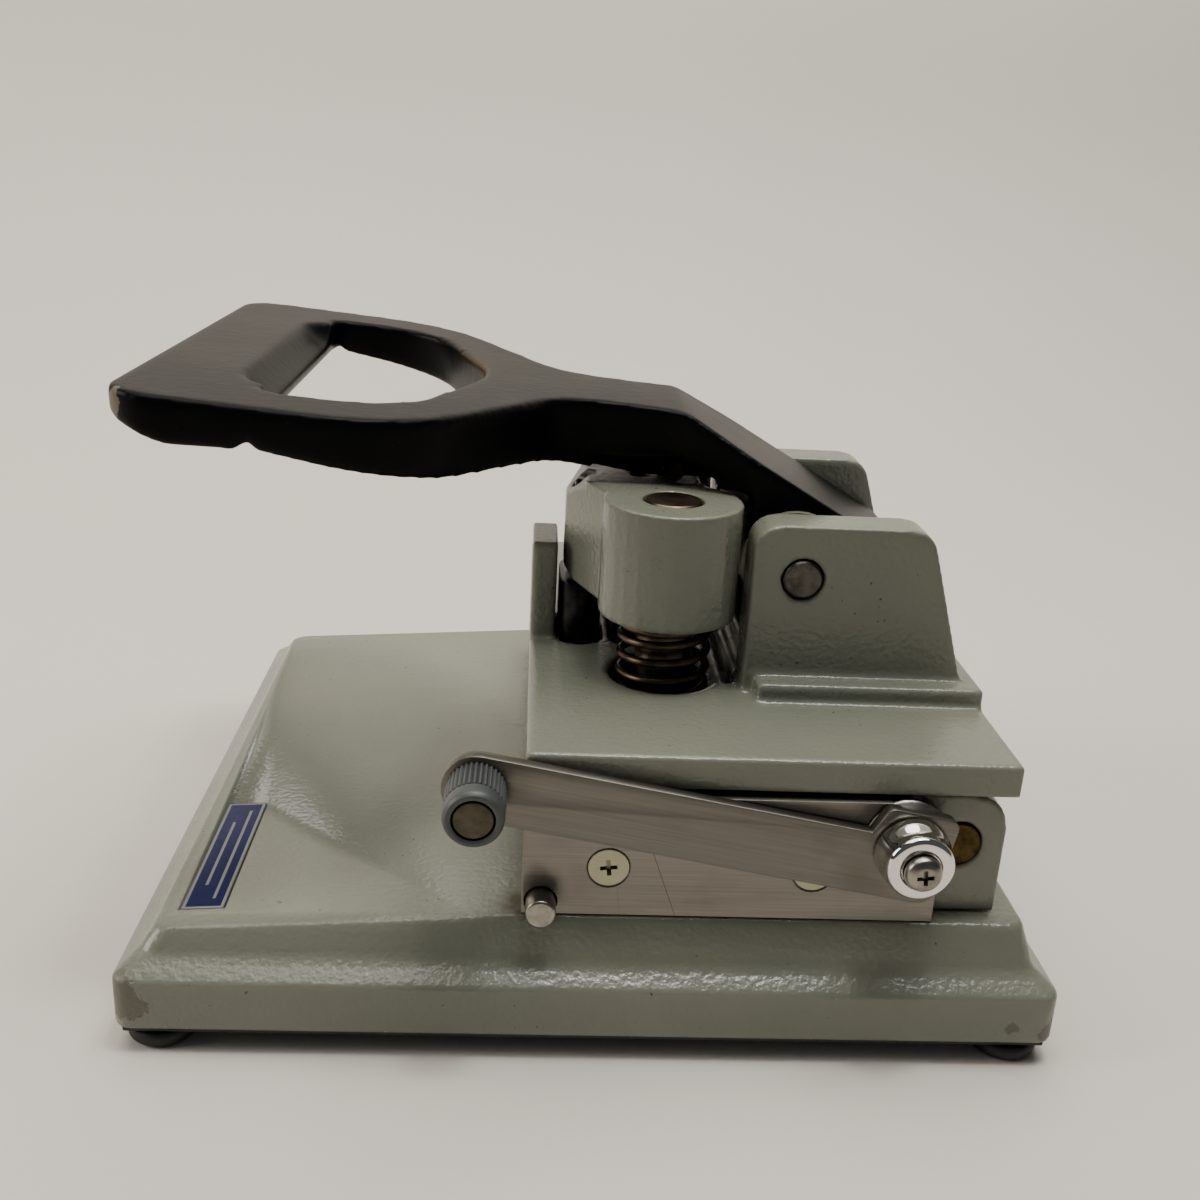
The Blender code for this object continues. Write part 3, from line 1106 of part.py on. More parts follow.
def make_crosshead():
    """Crosshead with its guide rods, punch blocks, punches, knives and clamp screws."""
    slide = pivot_empty("crosshead_slide", (CROSSHEAD_X, HEAD_Y, BOSS_BOTTOM_Z))
    crosshead = flat_piece(
        "crosshead", [crosshead_outline()], BOSS_HEIGHT, (0.0, 0.0, BOSS_HEIGHT / 2), PAINT, parent=slide
    )
    saddle_half = BOSS_PITCH - BOSS_RADIUS
    top_size = (4 * BOSS_RADIUS, 2 * saddle_half, 2 * BRIDGE_DROP)
    top_cut = box("bridge_top_cut", top_size, (0.0, 0.0, BOSS_HEIGHT), parent=slide)
    under = box(
        "nose_chamfer", (NOSE_CHAMFER * math.sqrt(2), 2 * BOSS_PITCH, NOSE_CHAMFER * math.sqrt(2)),
        (-NOSE_FRONT - SEAM, 0.0, -SEAM), turn=(0.0, math.pi / 4, 0.0), parent=slide,
    )
    slope_size = NOSE_TOP_SLOPE * math.sqrt(2)
    slope = box(
        "nose_slope", (slope_size, 2 * saddle_half + THROUGH, slope_size), (-NOSE_FRONT, 0.0, BOSS_HEIGHT),
        turn=(0.0, math.pi / 4, 0.0), parent=slide,
    )
    cut(crosshead, top_cut, under, slope)

    for name, y in (("near", -BOSS_PITCH), ("far", BOSS_PITCH)):
        bore = rod(
            "rod_bore_" + name, ROD_RADIUS + RUNNING_FIT, 4 * BOSS_HEIGHT, (0.0, y, 0.0), parent=slide
        )
        cut(crosshead, bore)
        rod_middle = (0.0, y, BOSS_HEIGHT - ROD_LENGTH / 2)
        rod(
            "guide_rod_" + name, ROD_RADIUS, ROD_LENGTH, rod_middle, "Z", DARK_STEEL,
            sides=SMALL_SIDES, parent=slide
        )

    block_height = PUNCH_BLOCK_TOP_Z - PUNCH_BLOCK_BOTTOM_Z
    block_middle = (PUNCH_BLOCK_TOP_Z + PUNCH_BLOCK_BOTTOM_Z) / 2 - BOSS_BOTTOM_Z
    for row, x, _ in punch_rows():
        local_x = x - CROSSHEAD_X
        outline = stadium(PUNCH_BLOCK_RADIUS, PUNCH_BLOCK_HALF)
        block_at = (local_x, 0.0, block_middle)
        block = flat_piece(
            "punch_block_" + row, [outline], block_height, block_at, DARK_STEEL, parent=slide
        )
        seat = BRIDGE_TOP_Z - BOSS_BOTTOM_Z - CLAMP_SCREW_SUNK
        shank_end = PUNCH_BLOCK_TOP_Z - BOSS_BOTTOM_Z - block_height / 2
        screw_hole = rod(
            "clamp_hole_" + row, CLAMP_SCREW_RADIUS + RUNNING_FIT, seat - shank_end + SEAM + THROUGH,
            (local_x, 0.0, (seat + shank_end - SEAM + THROUGH) / 2), sides=TINY_SIDES, parent=slide,
        )
        counterbore = rod(
            "clamp_counterbore_" + row, CLAMP_SCREW_HEAD + RUNNING_FIT, 2 * BOSS_HEIGHT,
            (local_x, 0.0, seat - SEAM + BOSS_HEIGHT), sides=TINY_SIDES, parent=slide,
        )
        cut(crosshead, screw_hole, counterbore)
        cut(block, screw_hole)
        turned(
            "clamp_screw_" + row,
            screw_profile(CLAMP_SCREW_HEAD, CLAMP_SCREW_HEAD_HEIGHT, CLAMP_SCREW_RADIUS, seat - shank_end),
            (local_x, 0.0, seat), look=DARK_STEEL, sides=TINY_SIDES, parent=slide,
        )
    punch_length = PUNCH_BLOCK_BOTTOM_Z - SEAM - PUNCH_TIP_Z
    tip_middle = PUNCH_TIP_Z + punch_length / 2 - BOSS_BOTTOM_Z
    for name, x, y in punch_places():
        box("punch_" + name, (PUNCH_LENGTH_X, PUNCH_LENGTH_Y, punch_length),
            (x - CROSSHEAD_X, y - HEAD_Y, tip_middle), TURNED, parent=slide)
    for name, x in knife_places():
        box("trim_knife_" + name, (KNIFE_THICKNESS, 2 * KNIFE_HALF_LENGTH, punch_length),
            (x - CROSSHEAD_X, 0.0, tip_middle), TURNED, parent=slide)


def make_springs():
    """Return spring round each guide rod, with closed end turns."""
    bottom = SPRING_SEAT_Z + SEAM + SPRING_WIRE
    top = BOSS_BOTTOM_Z - SEAM - SPRING_WIRE
    free_turns = SPRING_TURNS - 2
    free_pitch = (top - bottom - 2 * SPRING_END_PITCH) / free_turns
    for name, y in guide_places():
        curve = bpy.data.curves.new("return_spring_" + name, "CURVE")
        curve.dimensions = "3D"
        curve.bevel_depth = SPRING_WIRE
        curve.bevel_resolution = 2
        curve.use_fill_caps = True
        spline = curve.splines.new("POLY")
        count = SPRING_TURNS * SPRING_POINTS + 1
        spline.points.add(count - 1)
        for index, point in enumerate(spline.points):
            turns = index / SPRING_POINTS
            angle = math.tau * turns
            height = min(turns, 1.0) * SPRING_END_PITCH
            height += min(max(turns - 1.0, 0.0), free_turns) * free_pitch
            height += max(turns - 1.0 - free_turns, 0.0) * SPRING_END_PITCH
            point.co = (SPRING_RADIUS * math.cos(angle), SPRING_RADIUS * math.sin(angle), height, 1.0)
        place("return_spring_" + name, curve, DARK_STEEL, (CROSSHEAD_X, y, bottom))


# ---------------------------------------------------------------- build
base_casting = make_base()
make_label(base_casting)
make_bottom(base_casting)
lower_block = make_block(base_casting)
fixed_blade = make_fixed_blade(lower_block)
make_lever_mount(lower_block, fixed_blade)
make_cutter_lever()
make_head()
make_handle()
make_crosshead()
make_springs()
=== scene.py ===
import json
import math

import bmesh
import bpy
from mathutils import Matrix, Vector


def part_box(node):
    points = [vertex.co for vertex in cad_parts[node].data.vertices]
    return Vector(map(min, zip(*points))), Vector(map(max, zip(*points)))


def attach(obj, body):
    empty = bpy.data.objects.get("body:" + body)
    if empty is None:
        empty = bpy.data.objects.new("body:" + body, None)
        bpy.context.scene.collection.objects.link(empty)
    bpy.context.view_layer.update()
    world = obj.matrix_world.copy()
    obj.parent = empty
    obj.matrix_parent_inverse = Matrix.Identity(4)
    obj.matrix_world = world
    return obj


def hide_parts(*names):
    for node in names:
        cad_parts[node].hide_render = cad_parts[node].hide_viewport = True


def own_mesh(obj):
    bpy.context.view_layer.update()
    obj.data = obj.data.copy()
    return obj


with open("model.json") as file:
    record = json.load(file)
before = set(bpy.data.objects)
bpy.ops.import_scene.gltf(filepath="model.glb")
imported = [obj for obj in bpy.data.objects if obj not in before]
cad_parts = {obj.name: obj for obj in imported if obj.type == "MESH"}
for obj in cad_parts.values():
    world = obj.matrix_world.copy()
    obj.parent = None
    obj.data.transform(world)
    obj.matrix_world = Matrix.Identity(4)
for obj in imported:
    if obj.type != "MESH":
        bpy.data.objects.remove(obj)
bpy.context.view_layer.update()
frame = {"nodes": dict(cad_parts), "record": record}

MM = 0.001
Y_AXIS, Z_AXIS = Vector((0, 1, 0)), Vector((0, 0, 1))
TO_VIEWER = -Y_AXIS
QUARTER = math.pi / 2


# ---------------------------------------------------------------- shader maths
class Wire:
    """A value socket in a material.  Arithmetic on it adds Math nodes."""

    def __init__(self, finish, socket):
        self.finish = finish
        self.socket = socket

    def math(self, operation, *others):
        values = {index: value for index, value in enumerate((self, *others))}
        return self.finish.add("ShaderNodeMath", {"operation": operation}, values)

    def __add__(self, other):
        return self.math("ADD", other)

    def __radd__(self, other):
        return self.math("ADD", other)

    def __sub__(self, other):
        return self.math("SUBTRACT", other)

    def __rsub__(self, other):
        return (self * -1.0).math("ADD", other)

    def __mul__(self, other):
        return self.math("MULTIPLY", other)

    def __rmul__(self, other):
        return self.math("MULTIPLY", other)

    def __gt__(self, other):
        return self.math("GREATER_THAN", other)

    def __lt__(self, other):
        return self.math("LESS_THAN", other)

    def above(self, start, end):
        """Zero below start, one above end, and straight between them."""
        values = {0: self, 1: start, 2: end, 3: 0.0, 4: 1.0}
        return self.finish.add("ShaderNodeMapRange", {"clamp": True}, values)

    def size(self):
        return self.math("ABSOLUTE")


class Finish:
    """A procedural material.  Its patterns read Object coordinates, in metres."""

    def __init__(self, name, roughness=0.5, metallic=0.0, **sockets):
        self.material = bpy.data.materials.new(name)
        self.material.use_nodes = True
        self.tree = self.material.node_tree
        self.shader = self.tree.nodes["Principled BSDF"]
        self.set("Roughness", roughness)
        self.set("Metallic", metallic)
        for socket, value in sockets.items():
            self.set(socket.replace("_", " "), value)
        self.place = self.add("ShaderNodeTexCoord", output="Object")

    def add(self, kind, settings=None, values=None, output=0):
        """Add a node: settings first, then a number, colour or link for each socket."""
        node = self.tree.nodes.new(kind)
        for setting, value in (settings or {}).items():
            setattr(node, setting, value)
        for socket, value in (values or {}).items():
            self.feed(node.inputs[socket], value)
        return Wire(self, node.outputs[output])

    def feed(self, socket, value):
        if isinstance(value, Wire):
            self.tree.links.new(value.socket, socket)
        else:
            socket.default_value = value

    def set(self, socket, value):
        self.feed(self.shader.inputs[socket], value)

    def noise(self, scale, detail=2.0, roughness=0.5, place=None):
        values = {"Vector": place or self.place, "Scale": scale, "Detail": detail, "Roughness": roughness}
        return self.add("ShaderNodeTexNoise", None, values)

    def stretched(self, stretch, turn=(0.0, 0.0, 0.0)):
        """Object coordinates turned and then scaled, for grain that runs one way."""
        return self.add(
            "ShaderNodeMapping", {"vector_type": "POINT"},
            {"Vector": self.add("ShaderNodeMapping", None, {"Vector": self.place, "Rotation": turn}),
             "Scale": stretch},
        )

    def blend(self, share, first, second):
        """Mix two colours by a share from 0 to 1."""
        node = self.tree.nodes.new("ShaderNodeMix")
        node.data_type = "RGBA"
        self.feed(node.inputs[0], share)
        self.feed(node.inputs[6], first)
        self.feed(node.inputs[7], second)
        return Wire(self, node.outputs[2])

    def bump(self, height, distance, strength=1.0, under=None):
        values = {"Height": height, "Distance": distance, "Strength": strength}
        if under is not None:
            values["Normal"] = under
        return self.add("ShaderNodeBump", None, values, "Normal")

    def hollows(self, reach):
        """One deep in corners between surfaces, zero in the open."""
        values = {"Distance": reach}
        settings = {"samples": 8, "only_local": False}
        return 1.0 - self.add("ShaderNodeAmbientOcclusion", settings, values, "AO")

    def ridges(self):
        """How sharply the surface turns outwards: half on a flat, more on an edge."""
        return self.add("ShaderNodeNewGeometry", output="Pointiness")

    def axis(self, index):
        return self.add("ShaderNodeSeparateXYZ", None, {"Vector": self.place}, index)

    def patch(self, centre, reach):
        """One at a point, fading to zero at a distance of reach."""
        away = self.add(
            "ShaderNodeVectorMath", {"operation": "DISTANCE"}, {0: self.place, 1: centre}, "Value"
        )
        return away.above(reach, 0.0)


def tint(red, green, blue):
    return (red, green, blue, 1.0)


# ---------------------------------------------------------------- worn places
# Each is a point and how far its wear reaches.
BASE_LOW, BASE_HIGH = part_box("base_casting")
BLOCK_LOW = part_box("lower_block")[0]
HANDLE_LOW, HANDLE_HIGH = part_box("handle")
CHIPPED = (
    (Vector((BASE_LOW.x + 1.5 * MM, BASE_LOW.y + 0.5 * MM, BASE_LOW.z + 6.5 * MM)), 11.0 * MM),
    (Vector((BASE_HIGH.x - 0.5 * MM, BASE_LOW.y + 0.5 * MM, BASE_LOW.z + 4.0 * MM)), 8.0 * MM),
    (Vector((BASE_HIGH.x - 9.0 * MM, BASE_LOW.y, BASE_LOW.z + 3.5 * MM)), 3.0 * MM),
)
RUBBED = (                   # the end of the handle's opening
    Vector((HANDLE_LOW.x + 61.0 * MM, (HANDLE_LOW.y + HANDLE_HIGH.y) / 2 + 10.0 * MM,
            HANDLE_HIGH.z - 9.0 * MM)), 42.0 * MM,
)
GRIP_CHIP = (Vector((HANDLE_LOW.x + 1.0 * MM, HANDLE_LOW.y + 3.5 * MM, HANDLE_HIGH.z - 3.0 * MM)), 6.0 * MM)
STAINED = (
    (Vector((BLOCK_LOW.x - 0.8 * MM, BLOCK_LOW.y + 0.5 * MM, BLOCK_LOW.z + 0.3 * MM)), 8.5 * MM),
    (Vector((BLOCK_LOW.x, BLOCK_LOW.y - 3.0 * MM, BLOCK_LOW.z)), 4.0 * MM),
)


# ---------------------------------------------------------------- finishes
def grey_green_enamel():
    """Thick sprayed enamel on rough castings: orange peel, specks, painted shade browned like dirt in the
    corners, worn edges.
    """
    f = Finish("grey_green_enamel", IOR=1.5)
    cloud = f.noise(22.0, 3.0)
    mottle = f.noise(260.0, 2.0)
    colour = f.blend(cloud.above(0.35, 0.65), tint(0.158, 0.170, 0.136), tint(0.184, 0.192, 0.150))
    colour = f.blend(mottle.above(0.35, 0.80) * 0.15, colour, tint(0.140, 0.152, 0.126))
    specks = f.noise(900.0, 1.0).above(0.735, 0.76) * f.noise(70.0, 2.0).above(0.48, 0.62)
    colour = f.blend(specks * 0.8, colour, tint(0.035, 0.030, 0.022))
    grime = f.noise(180.0, 4.0, 0.65)
    # painted shade: corners and joints between parts darkened and browned from ambient occlusion, partly
    # dirt; the real brown stains are joined to it below
    shade_and_dirt = f.hollows(0.0045).above(0.30, 0.80) * grime.above(0.25, 0.70)
    colour = f.blend(shade_and_dirt * 0.85, colour, tint(0.075, 0.052, 0.028))
    ridge = f.ridges()
    wear = (ridge + (grime - 0.5) * 0.16).above(0.575, 0.60)
    chips = ridge.above(0.53, 0.56) * f.noise(130.0, 3.0, 0.6).above(0.66, 0.68)
    bare = wear.math("MAXIMUM", chips)
    for place, reach in CHIPPED:
        bare = bare.math("MAXIMUM", (f.patch(place, reach) + (grime - 0.5) * 2.2).above(0.56, 0.62))
    for place, reach in STAINED:
        stain = (f.patch(place, reach) + (grime - 0.5) * 1.1).above(0.40, 0.85)
        colour = f.blend(stain * 0.8, colour, tint(0.055, 0.036, 0.018))
        shade_and_dirt = shade_and_dirt.math("MAXIMUM", stain)
    colour = f.blend(bare * 0.8, colour, tint(0.090, 0.082, 0.064))
    f.set("Base Color", colour)
    f.set("Roughness", 0.20 + shade_and_dirt * 0.35 + bare * 0.2 + mottle * 0.08)
    peel = f.noise(850.0, 2.0, 0.45) + f.noise(260.0, 2.0) * 0.4
    f.set("Normal", f.bump(peel - bare * 0.5, 0.00020, 0.8))
    return f.material


def black_enamel():
    """Semi-gloss black with a worn brown edge where fingers rub it."""
    f = Finish("black_enamel", Specular_IOR_Level=0.07)
    cloud = f.noise(45.0, 3.0)
    dust = f.noise(1400.0, 1.0).above(0.76, 0.80)
    colour = f.blend(cloud, tint(0.0010, 0.0011, 0.0014), tint(0.0026, 0.0028, 0.0032))
    colour = f.blend(dust * 0.12, colour, tint(0.10, 0.095, 0.085))
    ridge = f.ridges()
    grime = f.noise(160.0, 4.0, 0.65)
    wear = (ridge + (grime - 0.5) * 0.20).above(0.590, 0.625)
    near_opening = (f.patch(*RUBBED) + (grime - 0.5) * 0.8).above(0.45, 1.0)
    rubbed = near_opening * ridge.above(0.50, 0.515)
    colour = f.blend(rubbed * 0.7, colour, tint(0.060, 0.035, 0.018))
    colour = f.blend(wear * 0.35, colour, tint(0.060, 0.040, 0.025))
    chip = (f.patch(*GRIP_CHIP) + (grime - 0.5) * 1.2).above(0.50, 0.56)
    colour = f.blend(chip * 0.8, colour, tint(0.16, 0.135, 0.10))
    f.set("Base Color", colour)
    f.set("Roughness", 0.30 + cloud * 0.08 + wear * 0.15)
    peel = f.noise(420.0, 2.0, 0.5) + f.noise(1500.0, 1.0) * 0.25
    f.set("Normal", f.bump(peel, 0.00012, 0.6))
    return f.material


def ground_steel(name, turn, shade=1.0, lines=()):
    """Steel ground in straight strokes along its own X once turned, with scribed lines if it has any."""
    f = Finish(name, metallic=1.0)
    strokes = f.noise(1.0, 3.0, 0.7, f.stretched((40.0, 900.0, 2600.0), turn))
    bands = f.noise(1.0, 2.0, 0.5, f.stretched((12.0, 90.0, 260.0), turn))
    cloud = f.noise(60.0, 3.0)
    colour = f.blend(strokes.above(0.3, 0.7), tint(0.225 * shade, 0.213 * shade, 0.188 * shade),
                     tint(0.300 * shade, 0.285 * shade, 0.252 * shade))
    stained = tint(0.150 * shade, 0.135 * shade, 0.108 * shade)
    colour = f.blend(cloud.above(0.50, 0.75) * 0.45, colour, stained)
    rough = 0.30 + strokes * 0.16 + bands * 0.06
    for (x0, z0), (x1, z1), width in lines:
        length = math.hypot(x1 - x0, z1 - z0)
        along_x, along_z = (x1 - x0) / length, (z1 - z0) / length
        away = (f.axis(0) - x0) * -along_z + (f.axis(2) - z0) * along_x
        along = (f.axis(0) - x0) * along_x + (f.axis(2) - z0) * along_z
        scratch = (away.size() < width) * (along > 0.0) * (along < length)
        colour = f.blend(scratch * 0.6, colour, tint(0.10, 0.045, 0.03))
    f.set("Base Color", colour)
    f.set("Roughness", rough)
    f.set("Normal", f.bump(strokes, 0.00003, 0.5))
    return f.material


def turned_steel(name, low, high, rough):
    """Steel turned or ground all round, with faint mottling from handling."""
    f = Finish(name, metallic=1.0)
    cloud = f.noise(350.0, 3.0, 0.6)
    fine = f.noise(2400.0, 2.0)
    f.set("Base Color", f.blend(cloud.above(0.3, 0.7), low, high))
    f.set("Roughness", rough + cloud * 0.12)
    f.set("Normal", f.bump(fine, 0.00002, 0.5))
    return f.material


def chrome():
    f = Finish("bright_chrome", metallic=1.0)
    smear = f.noise(240.0, 3.0, 0.6)
    f.set("Base Color", f.blend(smear, tint(0.66, 0.65, 0.64), tint(0.80, 0.79, 0.77)))
    f.set("Roughness", 0.05 + smear.above(0.5, 0.8) * 0.14)
    f.set("Normal", f.bump(smear, 0.00001, 0.3))
    return f.material


def tarnished_brass():
    f = Finish("tarnished_brass", metallic=1.0)
    cloud = f.noise(420.0, 4.0, 0.6)
    colour = f.blend(cloud.above(0.35, 0.65), tint(0.030, 0.020, 0.008), tint(0.085, 0.058, 0.022))
    f.set("Base Color", colour)
    f.set("Roughness", 0.34 + cloud * 0.25)
    f.set("Normal", f.bump(cloud, 0.00006, 0.5))
    return f.material


def rubber():
    f = Finish("black_rubber")
    grain = f.noise(900.0, 3.0)
    f.set("Base Color", f.blend(grain, tint(0.004, 0.005, 0.005), tint(0.012, 0.013, 0.013)))
    f.set("Roughness", 0.50 + grain * 0.2)
    f.set("Normal", f.bump(grain, 0.00008, 0.6))
    return f.material


def knob_grey():
    """Moulded grey plastic with painted shade and hand grease between the flutes."""
    f = Finish("knob_grey")
    cloud = f.noise(300.0, 3.0)
    # painted shade: the recesses between the flutes darkened from ambient occlusion, also standing for grease
    shade_and_dirt = f.hollows(0.0012).above(0.15, 0.7)
    colour = f.blend(cloud, tint(0.040, 0.046, 0.048), tint(0.062, 0.070, 0.070))
    f.set("Base Color", f.blend(shade_and_dirt * 0.8, colour, tint(0.022, 0.020, 0.017)))
    f.set("Roughness", 0.36 + cloud * 0.15)
    f.set("Normal", f.bump(f.noise(1500.0, 2.0), 0.00003, 0.5))
    return f.material


def cream_plating():
    f = Finish("cream_plating", metallic=0.75)
    cloud = f.noise(500.0, 3.0, 0.6)
    # painted shade: hollows and joints darkened from ambient occlusion, also standing for dirt
    shade_and_dirt = f.hollows(0.0012).above(0.2, 0.8)
    colour = f.blend(cloud, tint(0.33, 0.32, 0.22), tint(0.47, 0.45, 0.33))
    f.set("Base Color", f.blend(shade_and_dirt * 0.8, colour, tint(0.05, 0.045, 0.03)))
    f.set("Roughness", 0.34 + cloud * 0.2)
    f.set("Normal", f.bump(cloud, 0.00002, 0.4))
    return f.material


def plain_paper_floor():
    f = Finish("pale_floor", roughness=0.75)
    cloud = f.noise(6.0, 2.0)
    f.set("Base Color", f.blend(cloud, tint(0.66, 0.62, 0.565), tint(0.70, 0.665, 0.61)))
    return f.material


ENAMEL = grey_green_enamel()
BLACK = black_enamel()
STEEL = turned_steel("turned_steel", tint(0.20, 0.19, 0.165), tint(0.36, 0.345, 0.31), 0.24)
DULL_STEEL = turned_steel("dull_steel", tint(0.045, 0.042, 0.030), tint(0.090, 0.085, 0.062), 0.36)
PIN_STEEL = turned_steel("oiled_pin_steel", tint(0.040, 0.038, 0.032), tint(0.110, 0.105, 0.092), 0.26)
WORN_STEEL = turned_steel("worn_steel", tint(0.085, 0.06, 0.045), tint(0.20, 0.155, 0.125), 0.26)
DARK = turned_steel("dark_spring_steel", tint(0.05, 0.036, 0.026), tint(0.12, 0.088, 0.062), 0.28)
OXIDE = turned_steel("black_oxide", tint(0.010, 0.010, 0.010), tint(0.026, 0.025, 0.024), 0.24)
BRONZE = turned_steel("bush_bronze", tint(0.25, 0.15, 0.06), tint(0.40, 0.26, 0.12), 0.3)
CHROME = chrome()
BRASS = tarnished_brass()
RUBBER = rubber()
KNOB = knob_grey()
CREAM = cream_plating()


# ---------------------------------------------------------------- shapes
def cuboid(low, high):
    shape = bmesh.new()
    bmesh.ops.create_cube(shape, size=1.0)
    low, high = Vector(low), Vector(high)
    bmesh.ops.scale(shape, vec=high - low, verts=shape.verts)
    bmesh.ops.translate(shape, vec=(low + high) / 2, verts=shape.verts)
    return shape


def rounded(corners, steps=8):
    """Closed outline through (x, y, radius) corners."""
    points = []
    for index, (x, y, radius) in enumerate(corners):
        corner = Vector((x, y))
        if radius == 0:
            points.append(corner)
            continue
        before = (Vector(corners[index - 1][:2]) - corner).normalized()
        after = (Vector(corners[(index + 1) % len(corners)][:2]) - corner).normalized()
        half = before.angle(after) / 2
        centre = corner + (before + after).normalized() * radius / math.sin(half)
        start = corner + before * radius / math.tan(half) - centre
        end = corner + after * radius / math.tan(half) - centre
        first = math.atan2(start.y, start.x)
        sweep = (math.atan2(end.y, end.x) - first + math.pi) % math.tau - math.pi
        for step in range(steps + 1):
            angle = first + sweep * step / steps
            points.append(centre + radius * Vector((math.cos(angle), math.sin(angle))))
    return points


def prism(outline, depth):
    """A plate over an outline in XY, from Z = 0 up to depth."""
    shape = bmesh.new()
    face = shape.faces.new([shape.verts.new((x, y, 0.0)) for x, y in outline])
    raised = bmesh.ops.extrude_face_region(shape, geom=[face])["geom"]
    top = [item for item in raised if isinstance(item, bmesh.types.BMVert)]
    bmesh.ops.translate(shape, vec=(0.0, 0.0, depth), verts=top)
    bmesh.ops.recalc_face_normals(shape, faces=shape.faces)
    return shape


def spun(profile, steps=64):
    """Turn (radius, height) points about Z.  A closed profile makes a ring."""
    shape = bmesh.new()
    points = [shape.verts.new((radius, 0.0, height)) for radius, height in profile]
    for first, second in zip(points, points[1:]):
        shape.edges.new((first, second))
    bmesh.ops.spin(
        shape, geom=shape.verts[:] + shape.edges[:], cent=(0, 0, 0), axis=(0, 0, 1),
        angle=math.tau, steps=steps, use_merge=True,
    )
    bmesh.ops.remove_doubles(shape, verts=shape.verts, dist=0.000002)
    bmesh.ops.dissolve_degenerate(shape, edges=shape.edges, dist=0.000001)
    bmesh.ops.recalc_face_normals(shape, faces=shape.faces)
    return shape


def eased(points, radius, steps=5):
    """Round the inner corners of an open (radius, height) profile."""
    result = [Vector(points[0])]
    for before, corner, after in zip(points, points[1:], points[2:]):
        before, corner, after = Vector(before), Vector(corner), Vector(after)
        reach = min(radius, (before - corner).length * 0.45, (after - corner).length * 0.45)
        start = corner + (before - corner).normalized() * reach
        end = corner + (after - corner).normalized() * reach
        for step in range(steps + 1):
            share = step / steps
            result.append(start.lerp(corner, share).lerp(corner.lerp(end, share), share))
    result.append(Vector(points[-1]))
    return [tuple(point) for point in result]


def soften(shape, width, segments=2, angle=28):
    """Round every edge that turns more than angle."""
    sharp = [edge for edge in shape.edges
             if len(edge.link_faces) == 2 and edge.calc_face_angle(0.0) > math.radians(angle)]
    bmesh.ops.bevel(
        shape, geom=sharp, offset=width, affect="EDGES", segments=segments, profile=0.5,
        material=-1, clamp_overlap=True,
    )
    return shape


def moved(shape, at, axis=Z_AXIS, roll=0.0):
    """Turn a shape's Z to axis and put its origin at a point."""
    turn = Vector((0, 0, 1)).rotation_difference(Vector(axis)).to_matrix().to_4x4()
    bmesh.ops.transform(
        shape, matrix=Matrix.Translation(at) @ turn @ Matrix.Rotation(roll, 4, "Z"), verts=shape.verts
    )
    return shape


def together(*shapes):
    """One shape of several, each still closed."""
    result = shapes[0]
    for shape in shapes[1:]:
        spare = bpy.data.meshes.new("spare")
        shape.to_mesh(spare)
        shape.free()
        result.from_mesh(spare)
        bpy.data.meshes.remove(spare)
    return result


def finished(shape, *modifiers):
    """Apply modifiers, each (kind, settings), and return the new shape."""
    mesh = bpy.data.meshes.new("work")
    shape.to_mesh(mesh)
    shape.free()
    work = bpy.data.objects.new("work", mesh)
    bpy.context.scene.collection.objects.link(work)
    for kind, settings in modifiers:
        step = work.modifiers.new(kind, kind)
        for setting, value in settings.items():
            setattr(step, setting, value)
    bpy.context.view_layer.update()
    result_mesh = bpy.data.meshes.new_from_object(work.evaluated_get(bpy.context.evaluated_depsgraph_get()))
    result = bmesh.new()
    result.from_mesh(result_mesh)
    bpy.data.objects.remove(work)
    bpy.data.meshes.remove(result_mesh)
    bpy.data.meshes.remove(mesh)
    return result


def carved(shape, cutter):
    """Cut one closed shape out of another."""
    mesh = bpy.data.meshes.new("cutter")
    cutter.to_mesh(mesh)
    cutter.free()
    tool = bpy.data.objects.new("cutter", mesh)
    bpy.context.scene.collection.objects.link(tool)
    result = finished(shape, ("BOOLEAN", {"operation": "DIFFERENCE", "solver": "EXACT", "object": tool}))
    bpy.data.objects.remove(tool)
    bpy.data.meshes.remove(mesh)
    return result


def cast(shape, grain, passes, factor=0.5):
    """Give a closed shape the soft edges and fillets of a sand casting."""
    return finished(
        shape,
        ("REMESH", {"mode": "VOXEL", "voxel_size": grain, "use_smooth_shade": True}),
        ("SMOOTH", {"factor": factor, "iterations": passes}),
    )


def cad_shape(node):
    """A merged copy of a CAD node's mesh."""
    shape = bmesh.new()
    shape.from_mesh(frame["nodes"][node].data)
    bmesh.ops.remove_doubles(shape, verts=shape.verts, dist=0.000001)
    return shape


def piece(name, shape, body, material, nodes=(), smooth=38):
    """Finish a shape as a piece that rides on a body and stands for CAD nodes."""
    mesh = bpy.data.meshes.new(name)
    shape.to_mesh(mesh)
    shape.free()
    mesh.shade_smooth()
    mesh.set_sharp_from_angle(angle=math.radians(smooth))
    mesh.materials.append(material)
    item = bpy.data.objects.new(name, mesh)
    bpy.context.scene.collection.objects.link(item)
    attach(item, body)
    if nodes:
        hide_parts(*nodes)
    return item


def repaint(node, material):
    """Give a CAD node that keeps its shape a better finish."""
    item = frame["nodes"][node]
    item.data.materials.clear()
    item.data.materials.append(material)


# ---------------------------------------------------------------- base
DECK_RISE = 4.6 * MM         # low end of the deck to its level part
BASE_PROFILE = (             # inset from the near rim and height over the casting's foot, mm
    (0.7, 0.0), (0.15, 0.35), (0.0, 0.9), (0.0, 9.5), (0.08, 10.05), (0.32, 10.5), (0.75, 10.85),
    (1.5, 11.35), (3.0, 12.35), (4.2, 13.15), (4.85, 13.65), (5.25, 14.15), (5.6, 14.8),
    (6.75, 16.15), (7.15, 16.75), (7.6, 17.1), (8.3, 17.3),
)
LEDGE_TOP = 9                # the profile's point where the slope up to the deck starts
END_SHARE = 0.86             # how far the ends are inset for each mm of the sides


